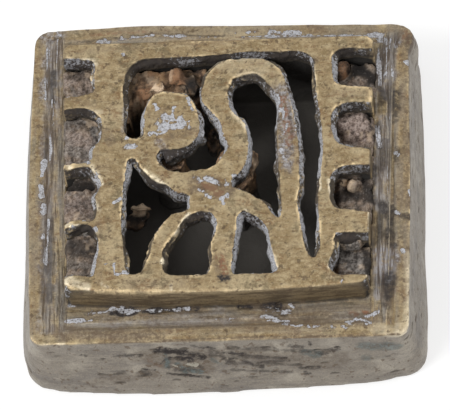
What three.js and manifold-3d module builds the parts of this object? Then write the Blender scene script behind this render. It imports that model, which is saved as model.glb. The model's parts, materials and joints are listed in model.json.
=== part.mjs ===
// Cast brass gold weight: a low hollow box whose walls lean in from foot to rim.
// Flat wax threads run round the rim, and a raised openwork sheet closes the top.
// The sheet is a frame of four bars with teeth at its two sides, round a looped bird-like figure.
// Inside are the floor and what is left of the fired clay core.
// Units are millimetres, X runs across the front, Y towards the back and Z up.

import * as THREE from 'three';
import { mergeVertices } from 'three/addons/utils/BufferGeometryUtils.js';
import Module from 'manifold-3d';

// Box
const foot_width = 28;
const foot_depth = 26.2;
const side_lean = 0.8;
const end_lean = 0.8;
const wall_height = 6.2;
const floor_thickness = 1.2;

// Corner radii of the foot and of the rim, from front left round to back left
const foot_corners = [2.8, 2, 1.3, 1.4];
const rim_corners = [0.9, 0.8, 2, 1.2];

// How far each side of the foot and of the rim bows out: front, right, back, left
const foot_bows = [0.45, 0.35, 0.3, 0.35];
const rim_bows = [0.05, 0.1, 0.25, 0.2];
const corner_steps = 6;
const bow_steps = 6;

// Rim, from the outside in: wall band, groove, flat thread
const band_width = 1.1;
const groove_width = 0.5;
const thread_width = 0.95;
const thread_height = 1.2;
const groove_depth = 0.5;
const groove_end = 0.7;

// Openwork sheet
const sheet_rise = 2.3;
const sheet_thickness = 1.5;
const sheet_taper = 0.2;
const sheet_corner = 0.35;
const sheet_corner_setback = 0.4;
const sheet_back_reach = 0.2;
const skirt_width = 0.6;

// Clay core: how far it lies below the sheet at the back and below the sheet's top in the notches,
// and how far it stays from the rim threads
const core_sink = 0.8;
const left_notch_depth = 1.8;
const right_notch_depth = 2.4;
const core_clearance = 0.1;

// How far a cutting solid runs past what it cuts
const overrun = 1;

const rim_width = foot_width - 2 * side_lean;
const rim_depth = foot_depth - 2 * end_lean;
const ledge_width = band_width + groove_width + thread_width;
const sheet_half_width = rim_width / 2 - ledge_width;
const sheet_half_depth = rim_depth / 2 - ledge_width;
const seat_height = wall_height - thread_height;
const sheet_top = wall_height + sheet_rise;
const sheet_underside = sheet_top - sheet_thickness;
const cavity_half_width = sheet_half_width - sheet_taper - skirt_width;
const cavity_half_depth = sheet_half_depth - sheet_corner_setback - skirt_width;

// Openings of the sheet, each a closed curve through points given as shares of the sheet's half sizes
const curve_steps = 3;

const centre_opening_shares = [
  [-0.59, 0.27], [-0.605, 0.43], [-0.61, 0.595], [-0.61, 0.71], [-0.58, 0.81], [-0.51, 0.875],
  [-0.375, 0.885], [-0.115, 0.89], [0.055, 0.9], [0.18, 0.915], [0.375, 0.91], [0.535, 0.905],
  [0.61, 0.86], [0.63, 0.72], [0.645, 0.55], [0.67, 0.385], [0.685, 0.155], [0.67, -0.08],
  [0.655, -0.31], [0.665, -0.515], [0.665, -0.675], [0.635, -0.745], [0.595, -0.71], [0.565, -0.585],
  [0.54, -0.39], [0.525, -0.285], [0.54, -0.185], [0.535, 0.105], [0.515, 0.33], [0.465, 0.595],
  [0.425, 0.735], [0.355, 0.83], [0.27, 0.865], [0.16, 0.865], [0.045, 0.855], [-0.04, 0.79],
  [-0.095, 0.655], [-0.105, 0.535], [-0.045, 0.45], [0.015, 0.36], [0.04, 0.255], [0.07, 0.165],
  [0.03, 0.07], [-0.03, 0], [-0.115, -0.02], [-0.205, -0.035], [-0.29, -0.025], [-0.35, 0.01],
  [-0.39, 0.09], [-0.36, 0.15], [-0.265, 0.145], [-0.18, 0.18], [-0.115, 0.275], [-0.115, 0.37],
  [-0.14, 0.48], [-0.195, 0.575], [-0.3, 0.61], [-0.405, 0.6], [-0.455, 0.525], [-0.48, 0.41],
  [-0.48, 0.295], [-0.5, 0.25],
];

const tail_opening_shares = [
  [0.075, 0.635], [0.105, 0.705], [0.18, 0.73], [0.255, 0.735], [0.32, 0.665], [0.38, 0.565],
  [0.395, 0.46], [0.385, 0.275], [0.395, 0.05], [0.415, -0.205], [0.42, -0.34], [0.41, -0.42],
  [0.365, -0.385], [0.33, -0.32], [0.255, -0.25], [0.17, -0.195], [0.1, -0.165], [0.1, -0.105],
  [0.165, -0.035], [0.205, 0.105], [0.2, 0.245], [0.17, 0.36], [0.105, 0.435], [0.075, 0.505],
];

const left_opening_shares = [
  [-0.575, 0.08], [-0.595, -0.05], [-0.61, -0.255], [-0.61, -0.46], [-0.6, -0.615], [-0.59, -0.74],
  [-0.575, -0.83], [-0.49, -0.83], [-0.45, -0.74], [-0.425, -0.645], [-0.405, -0.555], [-0.355, -0.45],
  [-0.3, -0.375], [-0.235, -0.35], [-0.185, -0.34], [-0.175, -0.275], [-0.185, -0.22], [-0.265, -0.195],
  [-0.33, -0.135], [-0.385, -0.11], [-0.46, -0.04], [-0.505, 0.03], [-0.535, 0.085],
];

const middle_opening_shares = [
  [-0.16, -0.375], [-0.105, -0.355], [-0.04, -0.365], [0, -0.43], [-0.01, -0.525], [-0.035, -0.605],
  [-0.03, -0.75], [-0.055, -0.845], [-0.19, -0.855], [-0.33, -0.835], [-0.345, -0.75], [-0.34, -0.645],
  [-0.295, -0.565], [-0.245, -0.49], [-0.21, -0.41],
];

const right_opening_shares = [
  [0.175, -0.36], [0.225, -0.39], [0.28, -0.43], [0.33, -0.515], [0.35, -0.645], [0.375, -0.76],
  [0.39, -0.84], [0.32, -0.855], [0.18, -0.855], [0.11, -0.85], [0.105, -0.74], [0.12, -0.595],
  [0.135, -0.47], [0.14, -0.395],
];

// Notches at the two sides, open outwards, from the back to the front
const left_notch_shares = [
  [
    [-1.05, 0.885], [-0.865, 0.89], [-0.81, 0.865], [-0.81, 0.76], [-0.81, 0.635], [-0.855, 0.615],
    [-1.05, 0.62],
  ],
  [
    [-1.05, 0.45], [-0.96, 0.495], [-0.845, 0.49], [-0.765, 0.42], [-0.76, 0.255], [-0.81, 0.165],
    [-0.82, 0.085], [-1.05, 0.08],
  ],
  [
    [-1.05, -0.03], [-0.95, 0.01], [-0.835, 0.025], [-0.795, -0.02], [-0.75, -0.115], [-0.79, -0.205],
    [-0.78, -0.33], [-0.81, -0.405], [-0.885, -0.39], [-1.05, -0.41],
  ],
  [
    [-1.05, -0.515], [-0.94, -0.45], [-0.865, -0.43], [-0.79, -0.47], [-0.765, -0.575], [-0.78, -0.74],
    [-0.8, -0.845], [-0.91, -0.83], [-1.05, -0.83],
  ],
];

const right_notch_shares = [
  [
    [1.07, 0.87], [0.995, 0.91], [0.8, 0.915], [0.755, 0.88], [0.75, 0.78], [0.76, 0.675],
    [0.8, 0.635], [1.07, 0.635],
  ],
  [
    [1.07, 0.44], [0.975, 0.48], [0.835, 0.48], [0.77, 0.445], [0.745, 0.37], [0.76, 0.225],
    [0.8, 0.155], [1.07, 0.145],
  ],
  [
    [1.07, -0.06], [0.975, -0.025], [0.815, -0.03], [0.75, -0.08], [0.735, -0.155], [0.745, -0.31],
    [0.79, -0.36], [1.07, -0.355],
  ],
  [
    [1.07, -0.595], [0.965, -0.565], [0.835, -0.555], [0.77, -0.575], [0.76, -0.695], [0.73, -0.81],
    [0.79, -0.88], [0.865, -0.88], [1.07, -0.865],
  ],
];

// Joint lines between the pieces of the sheet, as shares of its half sizes
const back_joint_share = 0.872;
const front_joint_share = -0.822;
const left_tooth_share = -0.835;
const left_bar_share = -0.507;
const right_tooth_share = 0.8;
const right_bar_shares = [[0.563, 1], [0.629, -1]];
const tooth_limit_shares = [0.75, 0.3, -0.2, -0.7];
const head_region_shares = [
  [left_bar_share, 0.25], [-0.49, 0.235], [-0.385, 0.09], [-0.05, 0.09], [-0.05, 0.26], [-0.16, 0.62],
  [-0.16, 0.86], [left_bar_share, 0.86],
];
const body_left_share = -0.183;
const neck_leg_share = -0.28;
const tail_rise_share = 0.155;
const tail_arch_share = 0.575;
const leg_joint_share = -0.425;
const leg_split_share = 0.15;
const tail_drop_shares = [[0.3, tail_arch_share], [0.409, leg_joint_share]];

// Plans of the clay that is left, in shares of the sheet's half sizes
const core_left_share = -0.66;
const core_right_share = 0.68;
const core_back_shares = [
  [core_left_share, 0.48], [-0.5, 0.52], [-0.36, 0.6], [-0.2, 0.56], [-0.1, 0.66], [-0.08, 0.84],
  [core_left_share, 0.84],
];
const core_head_shares = [
  [-0.43, 0.12], [-0.36, 0.05], [-0.24, 0.07], [-0.2, 0.2], [-0.26, 0.36], [-0.36, 0.34], [-0.42, 0.24],
];
const core_body_shares = [
  [-0.03, -0.02], [0.02, -0.12], [0.14, -0.14], [0.23, 0], [0.235, 0.14], [0.16, 0.3], [0.04, 0.28],
  [-0.02, 0.12],
];

// Materials
const sheet_brass = new THREE.MeshStandardMaterial({ color: 0xa8946f, roughness: 0.45, metalness: 0.75 });
const wall_brass = new THREE.MeshStandardMaterial({ color: 0x948b7e, roughness: 0.55, metalness: 0.65 });
const inside_brass = new THREE.MeshStandardMaterial({ color: 0x2a2622, roughness: 0.85, metalness: 0.3 });
const clay = new THREE.MeshStandardMaterial({ color: 0x6b4e3a, roughness: 0.95, metalness: 0 });

const wasm = await Module();
wasm.setup();

function to_solid(geometry) {
  const bare = geometry.clone();
  bare.deleteAttribute('normal');
  bare.deleteAttribute('uv');
  const merged = mergeVertices(bare);
  return new wasm.Manifold(new wasm.Mesh({
    numProp: 3,
    vertProperties: new Float32Array(merged.attributes.position.array),
    triVerts: new Uint32Array(merged.index.array),
  }));
}

function to_mesh(name, solid, material) {
  const { vertProperties, triVerts } = solid.getMesh();
  const geometry = new THREE.BufferGeometry();
  geometry.setAttribute('position', new THREE.BufferAttribute(new Float32Array(vertProperties), 3));
  geometry.setIndex(new THREE.BufferAttribute(new Uint32Array(triVerts), 1));
  geometry.computeVertexNormals();
  const mesh = new THREE.Mesh(geometry, material);
  mesh.name = name;
  return mesh;
}

// An upright solid on a closed outline
function prism(outline, low, high) {
  const shape = new THREE.Shape(outline);
  const geometry = new THREE.ExtrudeGeometry(shape, { depth: high - low, bevelEnabled: false });
  geometry.translate(0, 0, low);
  return to_solid(geometry);
}

function block(left, right, front, back, low, high) {
  const geometry = new THREE.BoxGeometry(right - left, back - front, high - low);
  geometry.translate((left + right) / 2, (front + back) / 2, (low + high) / 2);
  return to_solid(geometry);
}

// A solid between two level outlines that have as many points
function loft(lower, upper, low, high) {
  const count = lower.length;
  const positions = [];
  lower.forEach((point) => positions.push(point.x, point.y, low));
  upper.forEach((point) => positions.push(point.x, point.y, high));
  const triangles = [];
  for (let i = 0; i < count; i += 1) {
    const next = (i + 1) % count;
    triangles.push(i, next, count + next, i, count + next, count + i);
  }
  THREE.ShapeUtils.triangulateShape(lower, []).forEach(([a, b, c]) => triangles.push(c, b, a));
  THREE.ShapeUtils.triangulateShape(upper, []).forEach(([a, b, c]) => {
    triangles.push(count + a, count + b, count + c);
  });
  const geometry = new THREE.BufferGeometry();
  geometry.setAttribute('position', new THREE.Float32BufferAttribute(positions, 3));
  geometry.setIndex(triangles);
  return to_solid(geometry);
}

// How far a bowed side stands out at a share of its length
const bow_at = (share, bow) => bow * 4 * share * (1 - share);

// Rounded rectangle with bowed sides, anticlockwise from its front left corner
function bowed_outline(width, depth, corners, bows) {
  const [front_bow, right_bow, back_bow, left_bow] = bows;
  const left = left_bow - width / 2;
  const right = width / 2 - right_bow;
  const front = front_bow - depth / 2;
  const back = depth / 2 - back_bow;
  const tips = [[left, front], [right, front], [right, back], [left, back]];
  const arcs = tips.map(([x, y], i) => {
    const radius = corners[i];
    const centre = new THREE.Vector2(x - Math.sign(x) * radius, y - Math.sign(y) * radius);
    return Array.from({ length: corner_steps + 1 }, (_, step) => {
      const angle = Math.PI + (i + step / corner_steps) * Math.PI / 2;
      return new THREE.Vector2(Math.cos(angle), Math.sin(angle)).multiplyScalar(radius).add(centre);
    });
  });
  return arcs.flatMap((arc, i) => {
    const from = arc[corner_steps];
    const to = arcs[(i + 1) % arcs.length][0];
    const outward = new THREE.Vector2(to.y - from.y, from.x - to.x).normalize();
    const side = [];
    for (let step = 1; step < bow_steps; step += 1) {
      const share = step / bow_steps;
      side.push(from.clone().lerp(to, share).addScaledVector(outward, bow_at(share, bows[i])));
    }
    return [...arc, ...side];
  });
}

const on_sheet = ([u, v]) => new THREE.Vector2(u * sheet_half_width, v * sheet_half_depth);

// Closed curve through points given in shares
function curved_outline(shares) {
  const knots = shares.map(on_sheet).map((point) => new THREE.Vector3(point.x, point.y, 0));
  const curve = new THREE.CatmullRomCurve3(knots, true, 'centripetal');
  const points = curve.getPoints(shares.length * curve_steps).slice(1);
  return points.map((point) => new THREE.Vector2(point.x, point.y));
}

// Limits that every cutting solid runs past
const far_x = foot_width / 2 + overrun;
const far_y = foot_depth / 2 + overrun;
const far_low = -overrun;
const far_high = sheet_top + overrun;

// Box: four walls round a floor
const box_outside = loft(
  bowed_outline(foot_width, foot_depth, foot_corners, foot_bows),
  bowed_outline(rim_width, rim_depth, rim_corners, rim_bows),
  0,
  wall_height,
);
const cavity = block(
  -cavity_half_width, cavity_half_width, -cavity_half_depth, cavity_half_depth, far_low, far_high,
);
const floor_plate = block(
  -cavity_half_width, cavity_half_width, -cavity_half_depth, cavity_half_depth, 0, floor_thickness,
);
const ring = box_outside.subtract(cavity);

// The side walls run the whole depth, and the front and back walls lie between them
const side_joint = sheet_half_width - sheet_taper;
const between_sides = block(-side_joint, side_joint, -far_y, far_y, far_low, far_high)
  .subtract(block(-side_joint, side_joint, -cavity_half_depth, cavity_half_depth, far_low, far_high));

// Seats for the rim threads, with the groove that runs outside them and stops short of the corners
const band_x = rim_width / 2 - band_width;
const band_y = rim_depth / 2 - band_width;
const thread_x = band_x - groove_width;
const thread_y = band_y - groove_width;
const groove_floor = wall_height - groove_depth;
const groove_reach = rim_depth / 2 - groove_end;
const side_seats = block(-thread_x, thread_x, -far_y, far_y, seat_height, far_high)
  .add(block(-band_x, band_x, -groove_reach, groove_reach, groove_floor, far_high));
const end_seats = block(-far_x, far_x, -thread_y, thread_y, seat_height, far_high)
  .add(block(-far_x, far_x, -band_y, band_y, groove_floor, far_high));

const side_walls = ring.subtract(side_seats).subtract(between_sides);
const end_walls = ring.subtract(end_seats).intersect(between_sides);

const left_half = block(-far_x, 0, -far_y, far_y, far_low, far_high);
const right_half = block(0, far_x, -far_y, far_y, far_low, far_high);
const front_half = block(-far_x, far_x, -far_y, 0, far_low, far_high);
const back_half = block(-far_x, far_x, 0, far_y, far_low, far_high);

// Outline of the sheet: its sides close in towards the front, and its front edge bulges
function sheet_outline(clearance) {
  const back = sheet_half_depth + sheet_back_reach - clearance;
  const front = sheet_corner_setback + clearance - sheet_half_depth;
  const back_side = sheet_half_width + sheet_taper - clearance;
  const front_side = sheet_half_width - sheet_taper - clearance;
  const front_run = front_side - sheet_corner;
  const front_edge = Array.from({ length: bow_steps + 1 }, (_, step) => {
    const share = step / bow_steps;
    return new THREE.Vector2(front_run * (2 * share - 1), front - bow_at(share, sheet_corner_setback));
  });
  return [
    new THREE.Vector2(-front_side, front + sheet_corner),
    ...front_edge,
    new THREE.Vector2(front_side, front + sheet_corner),
    new THREE.Vector2(back_side, back - sheet_corner),
    new THREE.Vector2(back_side - sheet_corner, back),
    new THREE.Vector2(sheet_corner - back_side, back),
    new THREE.Vector2(-back_side, back - sheet_corner),
  ];
}

// Rim threads: each fills its seat up to the sheet
const sheet_space = prism(sheet_outline(0), seat_height - overrun, far_high);
const side_threads = box_outside
  .intersect(block(-thread_x, thread_x, -far_y, far_y, seat_height, wall_height))
  .subtract(block(-side_joint, side_joint, -far_y, far_y, far_low, far_high))
  .subtract(sheet_space);
const end_threads = box_outside
  .intersect(block(-side_joint, side_joint, -thread_y, thread_y, seat_height, wall_height))
  .subtract(sheet_space);

// Sheet with its skirt, which stands on the seats, cut by the openings and notches
const opening_shares = [
  centre_opening_shares, tail_opening_shares, left_opening_shares, middle_opening_shares,
  right_opening_shares, ...left_notch_shares, ...right_notch_shares,
];
const under_sheet = block(
  -cavity_half_width, cavity_half_width, -cavity_half_depth, cavity_half_depth, far_low, sheet_underside,
);
const sheet = opening_shares.reduce(
  (solid, shares) => solid.subtract(prism(curved_outline(shares), far_low, far_high)),
  prism(sheet_outline(0), seat_height, sheet_top).subtract(under_sheet),
);

// Part of the sheet inside a plan region given in shares
const far_share = 1 + overrun / sheet_half_depth;
const region = (shares) => prism(shares.map(on_sheet), far_low, far_high);
const band = (from, to) => region([
  [-far_share, from], [far_share, from], [far_share, to], [-far_share, to],
]);
const column = (from, to) => region([
  [from, -far_share], [to, -far_share], [to, far_share], [from, far_share],
]);

const back_bar = sheet.intersect(band(back_joint_share, far_share));
const front_bar = sheet.intersect(band(-far_share, front_joint_share));
const inner_sheet = sheet.intersect(band(front_joint_share, back_joint_share));

const left_comb = inner_sheet.intersect(column(-far_share, left_bar_share));
const left_bar = left_comb.intersect(column(left_tooth_share, left_bar_share));
const left_teeth = left_comb.intersect(column(-far_share, left_tooth_share));

const [right_bar_back, right_bar_front] = right_bar_shares;
const right_region = region([right_bar_back, right_bar_front, [far_share, -1], [far_share, 1]]);
const right_comb = inner_sheet.intersect(right_region);
const right_bar = right_comb.intersect(column(0, right_tooth_share));
const right_teeth = right_comb.intersect(column(right_tooth_share, far_share));

function teeth_meshes(side, teeth) {
  return tooth_limit_shares.slice(1).map((limit, i) => {
    const tooth = teeth.intersect(band(limit, tooth_limit_shares[i]));
    return to_mesh(`${side}_tooth_${i + 1}`, tooth, sheet_brass);
  });
}

// Figure: head, neck, body, looped tail and three legs
const figure = inner_sheet.subtract(left_comb).subtract(right_comb);
const head_region = region(head_region_shares);
const head = figure.intersect(head_region);
const headless = figure.subtract(head_region);

const [drop_back, drop_front] = tail_drop_shares;
const drop_region = region([drop_back, drop_front, [far_share, drop_front[1]], [far_share, drop_back[1]]]);
const tail_arch = headless.intersect(band(tail_arch_share, far_share));
const tail_drop = headless.intersect(drop_region);
const tail_rise = headless.intersect(band(tail_rise_share, tail_arch_share)).subtract(drop_region)
  .intersect(column(body_left_share, far_share));

const left_part = headless.intersect(column(-far_share, body_left_share));
const neck = left_part.intersect(band(neck_leg_share, tail_arch_share));
const left_leg = left_part.intersect(band(-far_share, neck_leg_share));

const right_part = headless.intersect(column(body_left_share, far_share));
const body = right_part.intersect(band(leg_joint_share, tail_rise_share)).subtract(drop_region);
const legs = right_part.intersect(band(-far_share, leg_joint_share));
const middle_leg = legs.intersect(column(body_left_share, leg_split_share));
const right_leg = legs.intersect(column(leg_split_share, far_share));

// Clay at a side: it carries the sheet, fills the seat between the teeth and is the floor of the notches
function core_side(from, to, notches, notch_depth) {
  const notch_floor = sheet_top - notch_depth;
  const reach = from < 0 ? [-far_x, to] : [from, far_x];
  const within = block(...reach, -cavity_half_depth, cavity_half_depth, far_low, far_high);
  const inner = block(from, to, -cavity_half_depth, cavity_half_depth, floor_thickness, sheet_underside);
  const filling = prism(sheet_outline(core_clearance), seat_height, notch_floor);
  return notches.reduce(
    (solid, shares) => solid.subtract(prism(curved_outline(shares), notch_floor, far_high)),
    inner.add(filling.intersect(within).subtract(sheet)),
  );
}

// Clay pillars under the figure, and a lower broken block at the back
const core_pillar = (shares, height) => prism(shares.map(on_sheet), floor_thickness, height);
const core_parts = {
  core_left: core_side(
    -cavity_half_width, core_left_share * sheet_half_width, left_notch_shares, left_notch_depth,
  ),
  core_right: core_side(
    core_right_share * sheet_half_width, cavity_half_width, right_notch_shares, right_notch_depth,
  ),
  core_back: core_pillar(core_back_shares, sheet_underside - core_sink),
  core_under_head: core_pillar(core_head_shares, sheet_underside),
  core_under_body: core_pillar(core_body_shares, sheet_underside),
};

// Assembly
const box_group = new THREE.Group();
box_group.add(
  to_mesh('floor_plate', floor_plate, inside_brass),
  to_mesh('left_wall', side_walls.intersect(left_half), wall_brass),
  to_mesh('right_wall', side_walls.intersect(right_half), wall_brass),
  to_mesh('front_wall', end_walls.intersect(front_half), wall_brass),
  to_mesh('back_wall', end_walls.intersect(back_half), wall_brass),
);

const rim_group = new THREE.Group();
rim_group.add(
  to_mesh('left_rim_thread', side_threads.intersect(left_half), sheet_brass),
  to_mesh('right_rim_thread', side_threads.intersect(right_half), sheet_brass),
  to_mesh('front_rim_thread', end_threads.intersect(front_half), sheet_brass),
  to_mesh('back_rim_thread', end_threads.intersect(back_half), sheet_brass),
);

const sheet_group = new THREE.Group();
sheet_group.add(
  to_mesh('back_bar', back_bar, sheet_brass),
  to_mesh('front_bar', front_bar, sheet_brass),
  to_mesh('left_bar', left_bar, sheet_brass),
  to_mesh('right_bar', right_bar, sheet_brass),
  ...teeth_meshes('left', left_teeth),
  ...teeth_meshes('right', right_teeth),
  to_mesh('figure_head', head, sheet_brass),
  to_mesh('figure_neck', neck, sheet_brass),
  to_mesh('figure_body', body, sheet_brass),
  to_mesh('figure_tail_rise', tail_rise, sheet_brass),
  to_mesh('figure_tail_arch', tail_arch, sheet_brass),
  to_mesh('figure_tail_drop', tail_drop, sheet_brass),
  to_mesh('figure_left_leg', left_leg, sheet_brass),
  to_mesh('figure_middle_leg', middle_leg, sheet_brass),
  to_mesh('figure_right_leg', right_leg, sheet_brass),
);

const core_group = new THREE.Group();
Object.entries(core_parts).forEach(([name, solid]) => core_group.add(to_mesh(name, solid, clay)));

const gold_weight = new THREE.Group();
gold_weight.add(box_group, rim_group, sheet_group, core_group);

export default gold_weight;
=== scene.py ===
import itertools
import json
import math

import bmesh
import bpy
import numpy as np
from mathutils import Matrix, Vector
from mathutils.bvhtree import BVHTree
from mathutils.kdtree import KDTree

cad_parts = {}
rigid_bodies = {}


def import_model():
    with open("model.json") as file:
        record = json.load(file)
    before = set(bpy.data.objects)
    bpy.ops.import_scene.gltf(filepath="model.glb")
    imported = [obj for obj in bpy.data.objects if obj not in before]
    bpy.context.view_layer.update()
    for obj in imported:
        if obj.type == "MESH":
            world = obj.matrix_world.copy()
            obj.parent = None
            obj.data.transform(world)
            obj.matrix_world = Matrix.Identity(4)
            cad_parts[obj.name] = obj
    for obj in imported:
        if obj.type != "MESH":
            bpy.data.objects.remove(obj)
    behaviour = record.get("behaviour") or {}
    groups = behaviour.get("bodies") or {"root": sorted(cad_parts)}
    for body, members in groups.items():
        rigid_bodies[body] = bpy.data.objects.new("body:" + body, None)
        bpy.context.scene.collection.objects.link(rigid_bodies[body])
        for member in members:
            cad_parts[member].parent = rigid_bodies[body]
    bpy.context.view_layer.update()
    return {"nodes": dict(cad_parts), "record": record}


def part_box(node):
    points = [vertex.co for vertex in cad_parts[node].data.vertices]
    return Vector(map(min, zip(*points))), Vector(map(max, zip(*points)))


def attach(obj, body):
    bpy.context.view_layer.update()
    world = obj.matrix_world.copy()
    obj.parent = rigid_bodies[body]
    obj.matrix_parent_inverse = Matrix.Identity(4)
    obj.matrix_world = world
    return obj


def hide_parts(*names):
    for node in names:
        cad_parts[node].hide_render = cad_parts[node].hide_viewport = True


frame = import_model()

# A cast brass gold weight. The brass is one casting, so its skin is made once for the whole box, roughened,
# and then parted along the CAD joints into closed pieces. The clay core is broken rock.
# Lengths are millimetres, and a finished piece is handed over in metres.
MM = 0.001
SLOTS = {part["node"]: part["material_slot"] for part in frame["record"]["subparts"]}
CLAY = [name for name, slot in SLOTS.items() if slot == "core_clay"]
BRASS = [name for name in SLOTS if name not in CLAY]
BOX = ("floor_plate", "left_wall", "right_wall", "front_wall", "back_wall")
THREADS = [name for name in BRASS if name.endswith("rim_thread")]
SHEET = [name for name in BRASS if name not in BOX and name not in THREADS]


def low(name):
    """The low corner of a CAD node's box."""
    return np.array(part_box(name)[0]) / MM


def high(name):
    """The high corner of a CAD node's box."""
    return np.array(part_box(name)[1]) / MM


RIM_TOP = high("left_rim_thread")[2]
SHEET_TOP = high("back_bar")[2]
SHEET_UNDER = low("figure_body")[2]
SEAT = low("back_bar")[2]
FLOOR_TOP = high("floor_plate")[2]
CAVITY = high("floor_plate")[:2]

# Camera: where the photograph was taken from, and the pixel at which it shows the point AIM
ELEVATION = math.radians(62)
AZIMUTH = math.radians(8.6)
ROLL = math.radians(9.293)
DISTANCE = 700.0
PIXELS_PER_MM = 14.408
PHOTO_SIZE = (450, 410)
AIM = Vector((0, 0, 4))
AIM_PIXEL = (221.63, 196.72)
SENSOR = 36
NEAREST, FARTHEST = 0.01, 10

VIEW_BACK = Vector((
    math.sin(AZIMUTH) * math.cos(ELEVATION), -math.cos(AZIMUTH) * math.cos(ELEVATION), math.sin(ELEVATION),
))
LEVEL_RIGHT = Vector((math.cos(AZIMUTH), math.sin(AZIMUTH), 0))
LEVEL_UP = VIEW_BACK.cross(LEVEL_RIGHT)
VIEW_RIGHT = LEVEL_RIGHT * math.cos(ROLL) - LEVEL_UP * math.sin(ROLL)
VIEW_UP = LEVEL_RIGHT * math.sin(ROLL) + LEVEL_UP * math.cos(ROLL)
CAMERA_PLACE = (
    AIM + VIEW_BACK * DISTANCE
    - VIEW_RIGHT * (AIM_PIXEL[0] - PHOTO_SIZE[0] / 2) / PIXELS_PER_MM
    - VIEW_UP * (PHOTO_SIZE[1] / 2 - AIM_PIXEL[1]) / PIXELS_PER_MM
)


def make_camera():
    data = bpy.data.cameras.new("camera")
    data.sensor_fit = "HORIZONTAL"
    data.sensor_width = SENSOR
    data.lens = PIXELS_PER_MM * DISTANCE * SENSOR / PHOTO_SIZE[0]
    data.clip_start = NEAREST
    data.clip_end = FARTHEST
    camera = bpy.data.objects.new("camera", data)
    bpy.context.scene.collection.objects.link(camera)
    turn = Matrix((VIEW_RIGHT, VIEW_UP, VIEW_BACK)).transposed().to_4x4()
    camera.matrix_world = Matrix.Translation(CAMERA_PLACE * MM) @ turn
    bpy.context.scene.camera = camera


def seen_at(pixel, height=SHEET_TOP, lean=None):
    """The point that the photograph shows at a pixel, on the level plane of that height.
    With lean, (y at the foot, y at the rim), it is on the front wall instead."""
    x = (pixel[0] - PHOTO_SIZE[0] / 2) / PIXELS_PER_MM
    y = (PHOTO_SIZE[1] / 2 - pixel[1]) / PIXELS_PER_MM
    ray = VIEW_RIGHT * x + VIEW_UP * y - VIEW_BACK * DISTANCE
    if lean is None:
        origin, normal = Vector((0, 0, height)), Vector((0, 0, 1))
    else:
        foot, rim = lean
        origin, normal = Vector((0, foot, 0)), Vector((0, -RIM_TOP, rim - foot)).normalized()
    share = (origin - CAMERA_PLACE).dot(normal) / ray.dot(normal)
    return np.array(CAMERA_PLACE + ray * share)


# Noise on arrays of points. Every noise has its own seed, so that it gives the same result each time.
AXIS_PRIMES = (73856093, 19349663, 83492791)
SEED_PRIME = 40503
STIR_PRIMES = (1274126177, 668265263)
LOW_BITS = 0xFFFFFFFF


def cell_value(cell, seed):
    """A repeatable value from -1 to 1 for each whole-number cell."""
    mixed = seed * SEED_PRIME
    for axis, prime in enumerate(AXIS_PRIMES):
        mixed = mixed ^ (cell[:, axis] * prime)
    mixed = (mixed & LOW_BITS) * STIR_PRIMES[0] & LOW_BITS
    mixed = (mixed ^ (mixed >> 15)) * STIR_PRIMES[1] & LOW_BITS
    mixed ^= mixed >> 13
    return (mixed & 0xFFFFFF) / 0x7FFFFF - 1


def noise(points, size, seed):
    """Smooth noise from -1 to 1. size is one length, or one for each axis."""
    place = points / np.asarray(size, float)
    cell = np.floor(place).astype(np.int64)
    part = place - cell
    fade = part * part * part * (part * (part * 6 - 15) + 10)
    total = np.zeros(len(points))
    for corner in itertools.product((0, 1), repeat=3):
        weight = np.prod([fade[:, k] if corner[k] else 1 - fade[:, k] for k in range(3)], axis=0)
        total += weight * cell_value(cell + np.array(corner), seed)
    return total


def layered(points, size, seed, layers=3, gain=0.5):
    """Noise of several sizes, each half the one before, from -1 to 1."""
    total, strength, reach = np.zeros(len(points)), 1.0, 0.0
    size = np.asarray(size, float)
    for layer in range(layers):
        total += strength * noise(points, size / 2 ** layer, seed + layer)
        reach += strength
        strength *= gain
    return total / reach


def nearest_seed(points, size, seed):
    """How far each point is from the nearest of a cloud of random points, about one a cell, in sizes."""
    place = points / size
    cell = np.floor(place).astype(np.int64)
    best = np.full(len(points), 9.0)
    for step in itertools.product((-1, 0, 1), repeat=3):
        other = cell + np.array(step)
        centre = np.stack([cell_value(other, seed + k) for k in range(3)], 1) * 0.5 + 0.5 + other
        best = np.minimum(best, np.linalg.norm(centre - place, axis=1))
    return best


def ramp(value, start, end):
    """0 at start, 1 at end, smooth between. start may be the larger."""
    share = np.clip((value - start) / (end - start), 0, 1)
    return share * share * (3 - 2 * share)


# Meshes


def node_arrays(name):
    """A CAD node's corners and triangles, with shared corners merged."""
    mesh = frame["nodes"][name].data
    corners = np.zeros(len(mesh.vertices) * 3)
    mesh.vertices.foreach_get("co", corners)
    corners, merged = np.unique(np.round(corners.reshape(-1, 3) / MM, 4), axis=0, return_inverse=True)
    mesh.calc_loop_triangles()
    triangles = np.zeros(len(mesh.loop_triangles) * 3, int)
    mesh.loop_triangles.foreach_get("vertices", triangles)
    triangles = merged.ravel()[triangles].reshape(-1, 3)
    whole = [len(set(triangle)) == 3 for triangle in triangles.tolist()]
    return corners, triangles[whole]


def joined(names):
    """The corners and triangles of several CAD nodes, and which of the nodes each triangle is of."""
    corners, triangles, owner, count = [], [], [], 0
    for number, name in enumerate(names):
        more, faces = node_arrays(name)
        corners.append(more)
        triangles.append(faces + count)
        owner += [number] * len(faces)
        count += len(more)
    return np.vstack(corners), np.vstack(triangles), owner


def new_mesh(name, corners, faces):
    mesh = bpy.data.meshes.new(name)
    mesh.from_pydata(corners.tolist(), [], faces.tolist() if hasattr(faces, "tolist") else faces)
    return mesh


def block(centre, axes, halves):
    """Corners and faces of a block with its own axes."""
    signs = np.array(list(itertools.product((-1, 1), repeat=3)), float)
    corners = np.asarray(centre) + signs * np.asarray(halves) @ np.asarray(axes)
    faces = [[0, 1, 3, 2], [4, 6, 7, 5], [0, 4, 5, 1], [2, 3, 7, 6], [0, 2, 6, 4], [1, 5, 7, 3]]
    return corners, faces


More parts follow.
